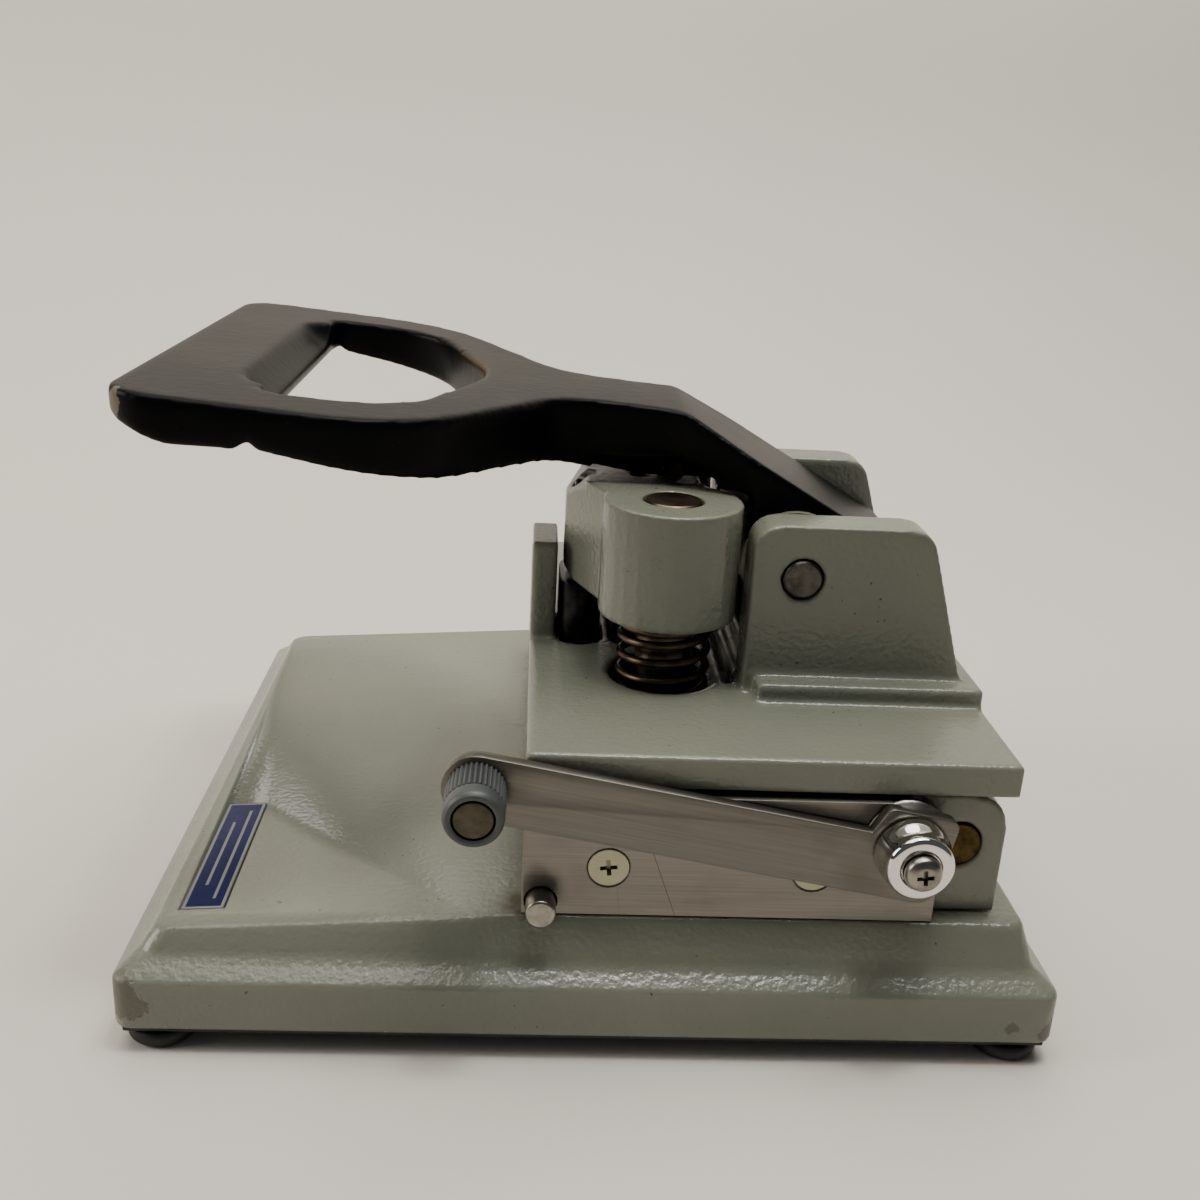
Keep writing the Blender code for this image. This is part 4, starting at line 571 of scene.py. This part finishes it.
def make_base():
    """Casting: an upright rim, a ledge that curves up, and a deck that rises to the block."""
    low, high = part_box("base_casting")
    half = (high - low) / 2
    centre = (low + high) / 2
    corner = 3.6 * MM
    outline = rounded([
        (-half.x, -half.y, corner), (half.x, -half.y, corner),
        (half.x, half.y, corner), (-half.x, half.y, corner),
    ])
    shape = bmesh.new()
    face = shape.faces.new([shape.verts.new((x, y, 0.0)) for x, y in outline])
    inset, height = 0.0, 0.0
    for step, (new_inset, new_height) in enumerate(BASE_PROFILE):
        if step:
            raised = bmesh.ops.extrude_face_region(shape, geom=[face])["geom"]
            if step > 1:
                shape.faces.remove(face)
            face = next(item for item in raised if isinstance(item, bmesh.types.BMFace))
        grow_x = (half.x - new_inset * MM * END_SHARE) / (half.x - inset * MM * END_SHARE)
        grow_y = (half.y - new_inset * MM) / (half.y - inset * MM)
        bmesh.ops.scale(shape, vec=(grow_x, grow_y, 1.0), verts=face.verts)
        bmesh.ops.translate(shape, vec=(0.0, 0.0, (new_height - height) * MM), verts=face.verts)
        inset, height = new_inset, new_height
    bmesh.ops.recalc_face_normals(shape, faces=shape.faces)
    block_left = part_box("lower_block")[0].x - centre.x
    for x in (block_left - 8 * MM, block_left - 3 * MM, block_left, block_left + 4 * MM):
        bmesh.ops.bisect_plane(
            shape, geom=shape.verts[:] + shape.edges[:] + shape.faces[:], dist=0.000001,
            plane_co=(x, 0.0, 0.0), plane_no=(1.0, 0.0, 0.0),
        )
    foot, top = BASE_PROFILE[LEDGE_TOP][1] * MM, BASE_PROFILE[-1][1] * MM
    deck_left = -half.x + 6.95 * MM
    for vertex in shape.verts:
        share = min(max((vertex.co.z - foot) / (top - foot), 0.0), 1.0)
        along = min(max((vertex.co.x - deck_left) / (block_left - deck_left), 0.0), 1.0)
        vertex.co.z += share * DECK_RISE * along
    bmesh.ops.translate(shape, vec=(centre.x, centre.y, low.z), verts=shape.verts)
    bmesh.ops.triangulate(shape, faces=[face for face in shape.faces if len(face.verts) > 4])
    recess = cad_shape("label_plate")
    low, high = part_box("label_plate")
    middle = (low + high) / 2
    size = high - low
    grow = Vector((1.0 + 0.9 * MM / size.x, 1.0 + 0.9 * MM / size.y, 1.0))
    for vertex in recess.verts:
        away = vertex.co - middle
        level = middle.z + away.x * DECK_RISE / (block_left - deck_left)
        lift = 2.0 * MM if vertex.co.z > level else 0.0
        vertex.co = middle + away * grow + Vector((0.0, 0.0, lift))
    shape = carved(shape, recess)
    piece("base_casting_cast", shape, "frame", ENAMEL, ["base_casting"], 50)


def make_feet():
    """Rubber feet with a rounded lower edge, and the bottom plate with a soft edge."""
    low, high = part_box("bottom_plate")
    plate = soften(cuboid(low, high), 0.4 * MM)
    piece("bottom_plate_sheet", plate, "frame", RUBBER, ["bottom_plate"])
    for corner in ("near_left", "near_right", "far_left", "far_right"):
        node = "foot_" + corner
        low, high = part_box(node)
        radius = (high.x - low.x) / 2
        tall = high.z - low.z
        profile = eased([
            (3.3 * MM, tall), (radius - 0.5 * MM, tall), (radius, tall * 0.75), (radius, tall * 0.30),
            (radius - 0.9 * MM, 0.0), (3.3 * MM, 0.0), (3.0 * MM, tall * 0.45), (1.85 * MM, tall * 0.5),
        ], 0.5 * MM)
        centre = (low + high) / 2
        ring = spun(profile + [(1.85 * MM, tall), profile[0]], 48)
        ring = moved(ring, (centre.x, centre.y, low.z))
        piece(node + "_moulded", ring, "frame", RUBBER, [node])
        repaint("foot_screw_" + corner, STEEL)


def make_label():
    """Printed plate: blue field, silver border and two plain silver lines in a shallow recess."""
    low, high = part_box("label_plate")
    f = Finish("label_print", roughness=0.35, Specular_IOR_Level=0.15)
    centre = (low + high) / 2
    half_x, half_y = (high.x - low.x) / 2, (high.y - low.y) / 2
    across = f.axis(0) - centre.x
    along = f.axis(1) - centre.y
    border = (across.size() > half_x - 0.75 * MM).math("MAXIMUM", along.size() > half_y - 0.75 * MM)
    edge = (across.size() > half_x - 0.25 * MM).math("MAXIMUM", along.size() > half_y - 0.25 * MM)
    silver = border - edge * 0.5
    for offset, reach in ((-1.1 * MM, 12.5 * MM), (1.5 * MM, 17.5 * MM)):
        line = ((across - offset).size() < 0.30 * MM) * (along.size() < reach)
        silver = silver.math("MAXIMUM", line * 0.9)
    wear = f.noise(500.0, 3.0, 0.6)
    colour = f.blend(wear.above(0.4, 0.7) * 0.3, tint(0.002, 0.006, 0.060), tint(0.004, 0.008, 0.036))
    f.set("Base Color", f.blend(silver, colour, tint(0.24, 0.25, 0.26)))
    f.set("Roughness", 0.32 + wear * 0.2)
    f.set("Metallic", silver * 0.7)
    f.set("Normal", f.bump(silver + wear * 0.1, 0.00003, 0.6))
    shape = cad_shape("label_plate")
    bmesh.ops.dissolve_limit(shape, angle_limit=0.01, verts=shape.verts, edges=shape.edges)
    bmesh.ops.translate(shape, vec=(0.0, 0.0, -0.15 * MM), verts=shape.verts)
    piece("label_plate_printed", soften(shape, 0.15 * MM), "frame", f.material, ["label_plate"])


# ---------------------------------------------------------------- lower block
def make_block():
    block = cast(cad_shape("lower_block"), 0.7 * MM, 5)
    piece("lower_block_cast", block, "frame", ENAMEL,
          ["lower_block"], 60)


def cross_recess(width, depth):
    """Cutter for a cross-head screw: two tapered bars and a pointed middle."""
    bars = []
    for roll in (0.0, QUARTER):
        bar = cuboid((-width / 2, -width * 0.09, -depth), (width / 2, width * 0.09, depth))
        for vertex in bar.verts:
            if vertex.co.z < 0:
                vertex.co.x *= 0.45
        bmesh.ops.rotate(bar, cent=(0, 0, 0), matrix=Matrix.Rotation(roll, 3, "Z"), verts=bar.verts)
        bars.append(bar)
    return bars


def with_cross(shape, width, depth, height, roll):
    """Sink a cross recess into a screw head whose top is at height."""
    for bar in cross_recess(width, depth):
        shape = carved(shape, moved(bar, (0.0, 0.0, height), Z_AXIS, roll))
    return shape


def make_blade():
    """Fixed shear blade, its countersunk screws and the stop pin."""
    low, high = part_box("fixed_blade")
    grain = ground_steel(
        "blade_ground", (0.0, 0.0, 0.0), 0.78,
        [((low.x + 24.6 * MM, low.z + 13.4 * MM), (low.x + 29.5 * MM, low.z + 0.1 * MM), 0.09 * MM),
         ((low.x + 16.2 * MM, low.z + 19.5 * MM), (low.x + 18.9 * MM, low.z + 0.2 * MM), 0.03 * MM)],
    )
    shape = cad_shape("fixed_blade")
    bmesh.ops.dissolve_limit(shape, angle_limit=0.02, verts=shape.verts, edges=shape.edges)
    shape = soften(shape, 0.18 * MM, 2, 40)
    piece("fixed_blade_ground", shape, "frame", grain, ["fixed_blade"])
    for name, roll in (("left", 0.12), ("right", 0.65)):
        node = "blade_screw_" + name
        low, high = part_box(node)
        radius = (high.x - low.x) / 2
        profile = eased([
            (0.0, 0.0), (radius - 0.15 * MM, 0.0), (radius, -0.25 * MM), (radius / 2, -radius / 2 - 0.2 * MM),
            (radius / 2, low.y - high.y), (0.0, low.y - high.y),
        ], 0.12 * MM)
        shape = with_cross(spun(profile, 48), radius * 1.15, 1.4 * MM, 0.0, roll)
        at = ((low.x + high.x) / 2, low.y, (low.z + high.z) / 2)
        piece(node + "_cross", moved(shape, at, TO_VIEWER), "frame", CREAM, [node])
    low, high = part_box("stop_pin")
    radius = (high.x - low.x) / 2
    profile = eased([
        (0.0, 0.0), (radius - 0.35 * MM, 0.0), (radius, -0.35 * MM),
        (radius, low.y - high.y), (0.0, low.y - high.y),
    ], 0.15 * MM)
    at = ((low.x + high.x) / 2, low.y, (low.z + high.z) / 2)
    pin = moved(spun(profile, 48), at, TO_VIEWER)
    piece("stop_pin_turned", pin, "frame", STEEL, ["stop_pin"])


def make_lever_mount():
    """Stud, chrome collar and cross-head screw of the cutter lever, and the brass plug."""
    low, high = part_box("lever_collar")
    back, front = high.y, low.y
    radius = (high.x - low.x) / 2
    long = back - front
    profile = eased([
        (2.2 * MM, long - 0.5 * MM), (3.4 * MM, long - 0.5 * MM), (3.9 * MM, long), (5.7 * MM, long),
        (6.35 * MM, long - 0.7 * MM), (6.45 * MM, long * 0.62), (radius - 0.15 * MM, long * 0.30),
        (radius, 0.5 * MM), (radius - 0.35 * MM, 0.0), (2.2 * MM, 0.0),
    ], 0.6 * MM, 6)
    at = ((low.x + high.x) / 2, back, (low.z + high.z) / 2)
    ring = spun(profile + [profile[0]], 96)
    piece("lever_collar_chromed", moved(ring, at, TO_VIEWER), "frame", CHROME, ["lever_collar"])

    low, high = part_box("lever_screw")
    radius = (high.x - low.x) / 2
    head = 2.3 * MM
    profile = eased([
        (0.0, head), (radius * 0.55, head * 0.97), (radius * 0.90, head * 0.72),
        (radius, head * 0.35), (radius, 0.0),
        (1.8 * MM, 0.0), (1.8 * MM, low.y + head - high.y), (0.0, low.y + head - high.y),
    ], 0.5 * MM)
    shape = with_cross(spun(profile, 64), radius * 1.25, 1.5 * MM, head, 0.1)
    at = ((low.x + high.x) / 2, low.y + head, (low.z + high.z) / 2)
    piece("lever_screw_cross", moved(shape, at, TO_VIEWER), "frame", STEEL, ["lever_screw"])

    low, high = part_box("brass_plug")
    radius = (high.x - low.x) / 2
    profile = eased([
        (0.0, -0.15 * MM), (radius * 0.8, -0.1 * MM), (radius - 0.2 * MM, 0.0), (radius, -0.3 * MM),
        (radius, low.y - high.y), (0.0, low.y - high.y),
    ], 0.15 * MM)
    at = ((low.x + high.x) / 2, low.y, (low.z + high.z) / 2)
    plug = moved(spun(profile, 48), at, TO_VIEWER)
    piece("brass_plug_turned", plug, "frame", BRASS, ["brass_plug"])
    shape = cad_shape("lever_stud")
    piece("lever_stud_turned", shape, "frame", STEEL, ["lever_stud"])


# ---------------------------------------------------------------- cutter lever
LEVER_TILT = math.radians(10.4)
FLUTES = 36


def make_cutter():
    """Cutter lever, its fluted knob and the knob's stud."""
    shape = cad_shape("cutter_lever")
    bmesh.ops.dissolve_limit(shape, angle_limit=0.02, verts=shape.verts, edges=shape.edges)
    grain = ground_steel("lever_ground", (0.0, -LEVER_TILT, 0.0), 0.60)
    piece("cutter_lever_ground", soften(shape, 0.22 * MM, 2, 40), "cutter", grain,
          ["cutter_lever"])

    low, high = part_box("lever_knob")
    radius = (high.x - low.x) / 2
    long = high.y - low.y
    at = Vector(((low.x + high.x) / 2, high.y, (low.z + high.z) / 2))
    outline = []
    per_flute = 8
    for step in range(FLUTES * per_flute):
        angle = math.tau * step / (FLUTES * per_flute)
        groove = 0.5 - 0.5 * math.cos(FLUTES * angle)
        reach = radius - 0.42 * MM * groove ** 1.5
        outline.append((reach * math.cos(angle), reach * math.sin(angle)))
    fluted = prism(outline, long * 0.66)
    caps = [face for face in fluted.faces if len(face.verts) > 8]
    for cap in caps:
        bmesh.ops.inset_region(
            fluted, faces=[cap], thickness=0.35 * MM, depth=0.22 * MM, use_even_offset=True
        )
    ring = spun([(x, y) for x, y in eased([
        (3.95 * MM, long - 0.25 * MM), (4.35 * MM, long),
        (radius - 0.75 * MM, long), (radius - 0.1 * MM, long * 0.93),
        (radius - 0.05 * MM, long * 0.68), (radius - 0.75 * MM, long * 0.62), (3.95 * MM, long * 0.62),
    ], 0.45 * MM)] + [(3.95 * MM, long - 0.25 * MM)], 96)
    knob = together(moved(fluted, at, TO_VIEWER), moved(ring, at, TO_VIEWER))
    piece("lever_knob_moulded", knob, "knob", KNOB, ["lever_knob"])

    low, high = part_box("knob_stud")
    radius = (high.x - low.x) / 2
    profile = eased([
        (0.0, 0.0), (radius - 0.25 * MM, 0.0), (radius, -0.25 * MM), (radius, -9.0 * MM), (0.0, -9.0 * MM),
    ], 0.12 * MM)
    shape = moved(spun(profile, 48), ((low.x + high.x) / 2, low.y, (low.z + high.z) / 2), TO_VIEWER)
    piece("knob_stud_turned", shape, "cutter", DULL_STEEL, ["knob_stud"])


# ---------------------------------------------------------------- head
STROKE = next(joint["range_m"][1] for joint in frame["record"]["behaviour"]["joints"]
              if joint["name"] == "crosshead_slide")
POCKET_FIT = 0.28 * MM       # all round a punch block in the head
ROUND_END = 0.499            # of a pocket's width, so that its two corners never quite meet


def punch_pocket(row):
    """The slot that a punch block slides down, with its clearance, as a cutter."""
    low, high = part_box("punch_block_" + row)
    low -= Vector((POCKET_FIT, POCKET_FIT, STROKE + POCKET_FIT))
    high += Vector((POCKET_FIT, POCKET_FIT, POCKET_FIT))
    shape = bmesh.new()
    bmesh.ops.create_cube(shape, size=1.0)
    bmesh.ops.scale(shape, vec=high - low, verts=shape.verts)
    bmesh.ops.translate(shape, vec=(low + high) / 2, verts=shape.verts)
    upright = [edge for edge in shape.edges if abs(edge.verts[0].co.z - edge.verts[1].co.z) > POCKET_FIT]
    bmesh.ops.bevel(
        shape, geom=upright, affect="EDGES", offset=(high.x - low.x) * ROUND_END, offset_type="OFFSET",
        segments=14, profile=0.5, material=-1,
    )
    return shape


def make_head():
    head = cast(cad_shape("head_casting"), 0.65 * MM, 6)
    for row in ("front", "back"):
        head = carved(head, punch_pocket(row))
    piece("head_casting_cast", head, "frame", ENAMEL, ["head_casting"], 60)
    low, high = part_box("handle_pin")
    radius = (high.x - low.x) / 2
    centre = (low + high) / 2
    half = (high.y - low.y) / 2
    profile = eased([
        (0.0, half - 0.1 * MM), (radius - 0.6 * MM, half - 0.05 * MM), (radius - 0.5 * MM, half),
        (radius, half - 0.5 * MM), (radius, 0.5 * MM - half), (radius - 0.5 * MM, -half), (0.0, -half),
    ], 0.15 * MM)
    pin = moved(spun(profile, 64), centre, TO_VIEWER)
    piece("handle_pin_turned", pin, "frame", PIN_STEEL, ["handle_pin"])
    for side in ("near", "far"):
        repaint("hub_washer_" + side, CREAM)
        repaint("guide_bush_" + side, BRONZE)
    repaint("die_plate", STEEL)
    for node in frame["nodes"]:
        if node.startswith("block_screw"):
            repaint(node, STEEL)


# ---------------------------------------------------------------- hand lever
def make_handle():
    handle = cast(cad_shape("handle"), 0.62 * MM, 16)
    piece("handle_cast", handle, "hand_lever", BLACK, ["handle"], 60)
    low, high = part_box("press_roller")
    radius = (high.x - low.x) / 2
    half = (high.y - low.y) / 2
    profile = eased([
        (2.3 * MM, half), (radius - 0.3 * MM, half), (radius, half - 0.3 * MM), (radius, 0.3 * MM - half),
        (radius - 0.3 * MM, -half), (2.3 * MM, -half),
    ], 0.15 * MM)
    ring = spun(profile + [profile[0]], 48)
    piece("press_roller_turned", moved(ring, (low + high) / 2, TO_VIEWER), "roller", STEEL,
          ["press_roller"])
    repaint("roller_pin", BLACK)


# ---------------------------------------------------------------- crosshead
def make_crosshead():
    casting = cast(cad_shape("crosshead"), 0.45 * MM, 6)
    piece("crosshead_cast", casting, "crosshead", ENAMEL,
          ["crosshead"], 60)
    for side in ("near", "far"):
        node = "guide_rod_" + side
        low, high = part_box(node)
        radius = (high.x - low.x) / 2
        tall = high.z - low.z
        profile = eased([
            (0.0, tall), (radius - 0.4 * MM, tall), (radius, tall - 0.4 * MM), (radius, 0.8 * MM),
            (radius - 0.8 * MM, 0.0), (0.0, 0.0),
        ], 0.15 * MM)
        at = ((low.x + high.x) / 2, (low.y + high.y) / 2, low.z)
        piece(node + "_ground", moved(spun(profile, 64), at), "crosshead", WORN_STEEL, [node])
        make_spring("return_spring_" + side)
    for row in ("front", "back"):
        node = "punch_block_" + row
        low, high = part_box(node)
        shape = cad_shape(node)
        bmesh.ops.dissolve_limit(shape, angle_limit=0.02, verts=shape.verts, edges=shape.edges)
        piece(node + "_blacked", soften(shape, 0.3 * MM, 2, 50), "crosshead", OXIDE, [node])
        repaint("clamp_screw_" + row, OXIDE)
    for node in frame["nodes"]:
        if node.startswith(("punch_front", "punch_back", "trim_knife")):
            repaint(node, STEEL)


def make_spring(node):
    """Coil spring with closed end turns."""
    low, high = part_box(node)
    wire = 0.9 * MM
    radius = (high.x - low.x) / 2 - wire
    turns, per_turn = 5, 40
    height = high.z - low.z - 2 * wire
    shape = bmesh.new()
    bmesh.ops.create_circle(shape, cap_ends=True, segments=12, radius=wire)
    bmesh.ops.rotate(shape, cent=(0, 0, 0), matrix=Matrix.Rotation(QUARTER, 3, "X"), verts=shape.verts)
    bmesh.ops.translate(shape, vec=(radius, 0.0, 0.0), verts=shape.verts)
    pitch = height / turns
    bmesh.ops.spin(
        shape, geom=shape.verts[:] + shape.edges[:] + shape.faces[:], cent=(0, 0, 0), axis=(0, 0, 1),
        dvec=(0, 0, pitch / per_turn), angle=math.tau * turns, steps=turns * per_turn,
    )
    end_pitch = 2.1 * MM
    free_pitch = (height - 2 * end_pitch) / (turns - 2)
    for vertex in shape.verts:
        angle = math.atan2(vertex.co.y, vertex.co.x) / math.tau
        turn = round(vertex.co.z / pitch - angle) + angle
        closed = min(turn, 1.0) * end_pitch + max(turn - turns + 1.0, 0.0) * end_pitch
        open_part = min(max(turn - 1.0, 0.0), turns - 2.0) * free_pitch
        vertex.co.z += closed + open_part - turn * pitch
    bmesh.ops.recalc_face_normals(shape, faces=shape.faces)
    at = ((low.x + high.x) / 2, (low.y + high.y) / 2, low.z + wire)
    coil = piece(node + "_coiled", moved(shape, at), "frame", DARK, [node], 50)
    1.0 - STROKE / (high.z - low.z)
    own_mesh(coil)


# ---------------------------------------------------------------- studio
CAMERA_PLACE = Vector((-0.0153, -0.28535, 0.1670))
CAMERA_PITCH, CAMERA_YAW, CAMERA_ROLL = (math.radians(angle) for angle in (19.6, 3.4, 3.15))
LENS = 39.0


def make_camera():
    ahead = Vector((
        math.sin(CAMERA_YAW) * math.cos(CAMERA_PITCH), math.cos(CAMERA_YAW) * math.cos(CAMERA_PITCH),
        -math.sin(CAMERA_PITCH),
    ))
    level = Vector((math.cos(CAMERA_YAW), -math.sin(CAMERA_YAW), 0.0))
    upright = level.cross(ahead)
    across = level * math.cos(CAMERA_ROLL) + upright * math.sin(CAMERA_ROLL)
    up = upright * math.cos(CAMERA_ROLL) - level * math.sin(CAMERA_ROLL)
    data = bpy.data.cameras.new("camera")
    data.lens = LENS
    data.sensor_width = 36.0
    camera = bpy.data.objects.new("camera", data)
    camera.matrix_world = Matrix((
        (across.x, up.x, -ahead.x, CAMERA_PLACE.x),
        (across.y, up.y, -ahead.y, CAMERA_PLACE.y),
        (across.z, up.z, -ahead.z, CAMERA_PLACE.z),
        (0.0, 0.0, 0.0, 1.0),
    ))
    bpy.context.scene.collection.objects.link(camera)
    bpy.context.scene.camera = camera


def soft_light(name, place, aim, size, power, colour):
    data = bpy.data.lights.new(name, "AREA")
    data.shape = "RECTANGLE"
    data.size, data.size_y = size
    data.energy = power
    data.color = colour
    lamp = bpy.data.objects.new(name, data)
    lamp.location = place
    lamp.rotation_euler = (Vector(aim) - Vector(place)).to_track_quat("-Z", "Y").to_euler()
    bpy.context.scene.collection.objects.link(lamp)


def make_studio():
    """Pale paper that lies flat in front and curves up behind the object, and soft light from above."""
    profile = [Vector((0.0, -1.6, 0.0)), Vector((0.0, 0.30, 0.0))]
    for step in range(1, 13):
        angle = QUARTER * step / 12
        profile.append(Vector((0.0, 0.30 + 0.22 * math.sin(angle), 0.22 * (1.0 - math.cos(angle)))))
    profile.append(Vector((0.0, 0.60, 1.7)))
    shape = bmesh.new()
    points = [shape.verts.new(point) for point in profile]
    for first, second in zip(points, points[1:]):
        shape.edges.new((first, second))
    swept = bmesh.ops.extrude_edge_only(shape, edges=shape.edges[:])["geom"]
    far = [item for item in swept if isinstance(item, bmesh.types.BMVert)]
    bmesh.ops.translate(shape, vec=(-2.0, 0.0, 0.0), verts=points)
    bmesh.ops.translate(shape, vec=(2.0, 0.0, 0.0), verts=far)
    bmesh.ops.recalc_face_normals(shape, faces=shape.faces)
    if max(shape.faces, key=lambda face: face.calc_area()).normal.z < 0:
        bmesh.ops.reverse_faces(shape, faces=shape.faces)
    mesh = bpy.data.meshes.new("paper_sweep")
    shape.to_mesh(mesh)
    shape.free()
    mesh.shade_smooth()
    mesh.materials.append(plain_paper_floor())
    floor = bpy.data.objects.new("paper_sweep", mesh)
    bpy.context.scene.collection.objects.link(floor)
    world = bpy.data.worlds.new("dim_room")
    world.use_nodes = True
    world.node_tree.nodes["Background"].inputs["Color"].default_value = (0.80, 0.84, 0.90, 1.0)
    world.node_tree.nodes["Background"].inputs["Strength"].default_value = 0.10
    bpy.context.scene.world = world
    soft_light("overhead", (-0.05, 0.10, 1.00), (0.0, 0.02, 0.0), (1.0, 0.8), 10.0, (1.0, 0.935, 0.84))
    soft_light("lamp", (0.10, -0.10, 1.05), (0.0, -0.05, 0.0), (0.09, 0.09), 1.7, (1.0, 0.95, 0.88))
    soft_light("left_fill", (-0.95, -0.10, 0.45), (0.0, 0.0, 0.07), (0.5, 0.5), 5.5, (1.0, 0.95, 0.87))
    soft_light("backdrop_wash", (0.25, -0.05, 1.1), (0.1, 0.55, 0.55), (0.5, 0.4), 5.0, (0.96, 0.98, 1.0))


make_base()
make_feet()
make_label()
make_block()
make_blade()
make_lever_mount()
make_cutter()
make_head()
make_handle()
make_crosshead()
make_camera()
make_studio()
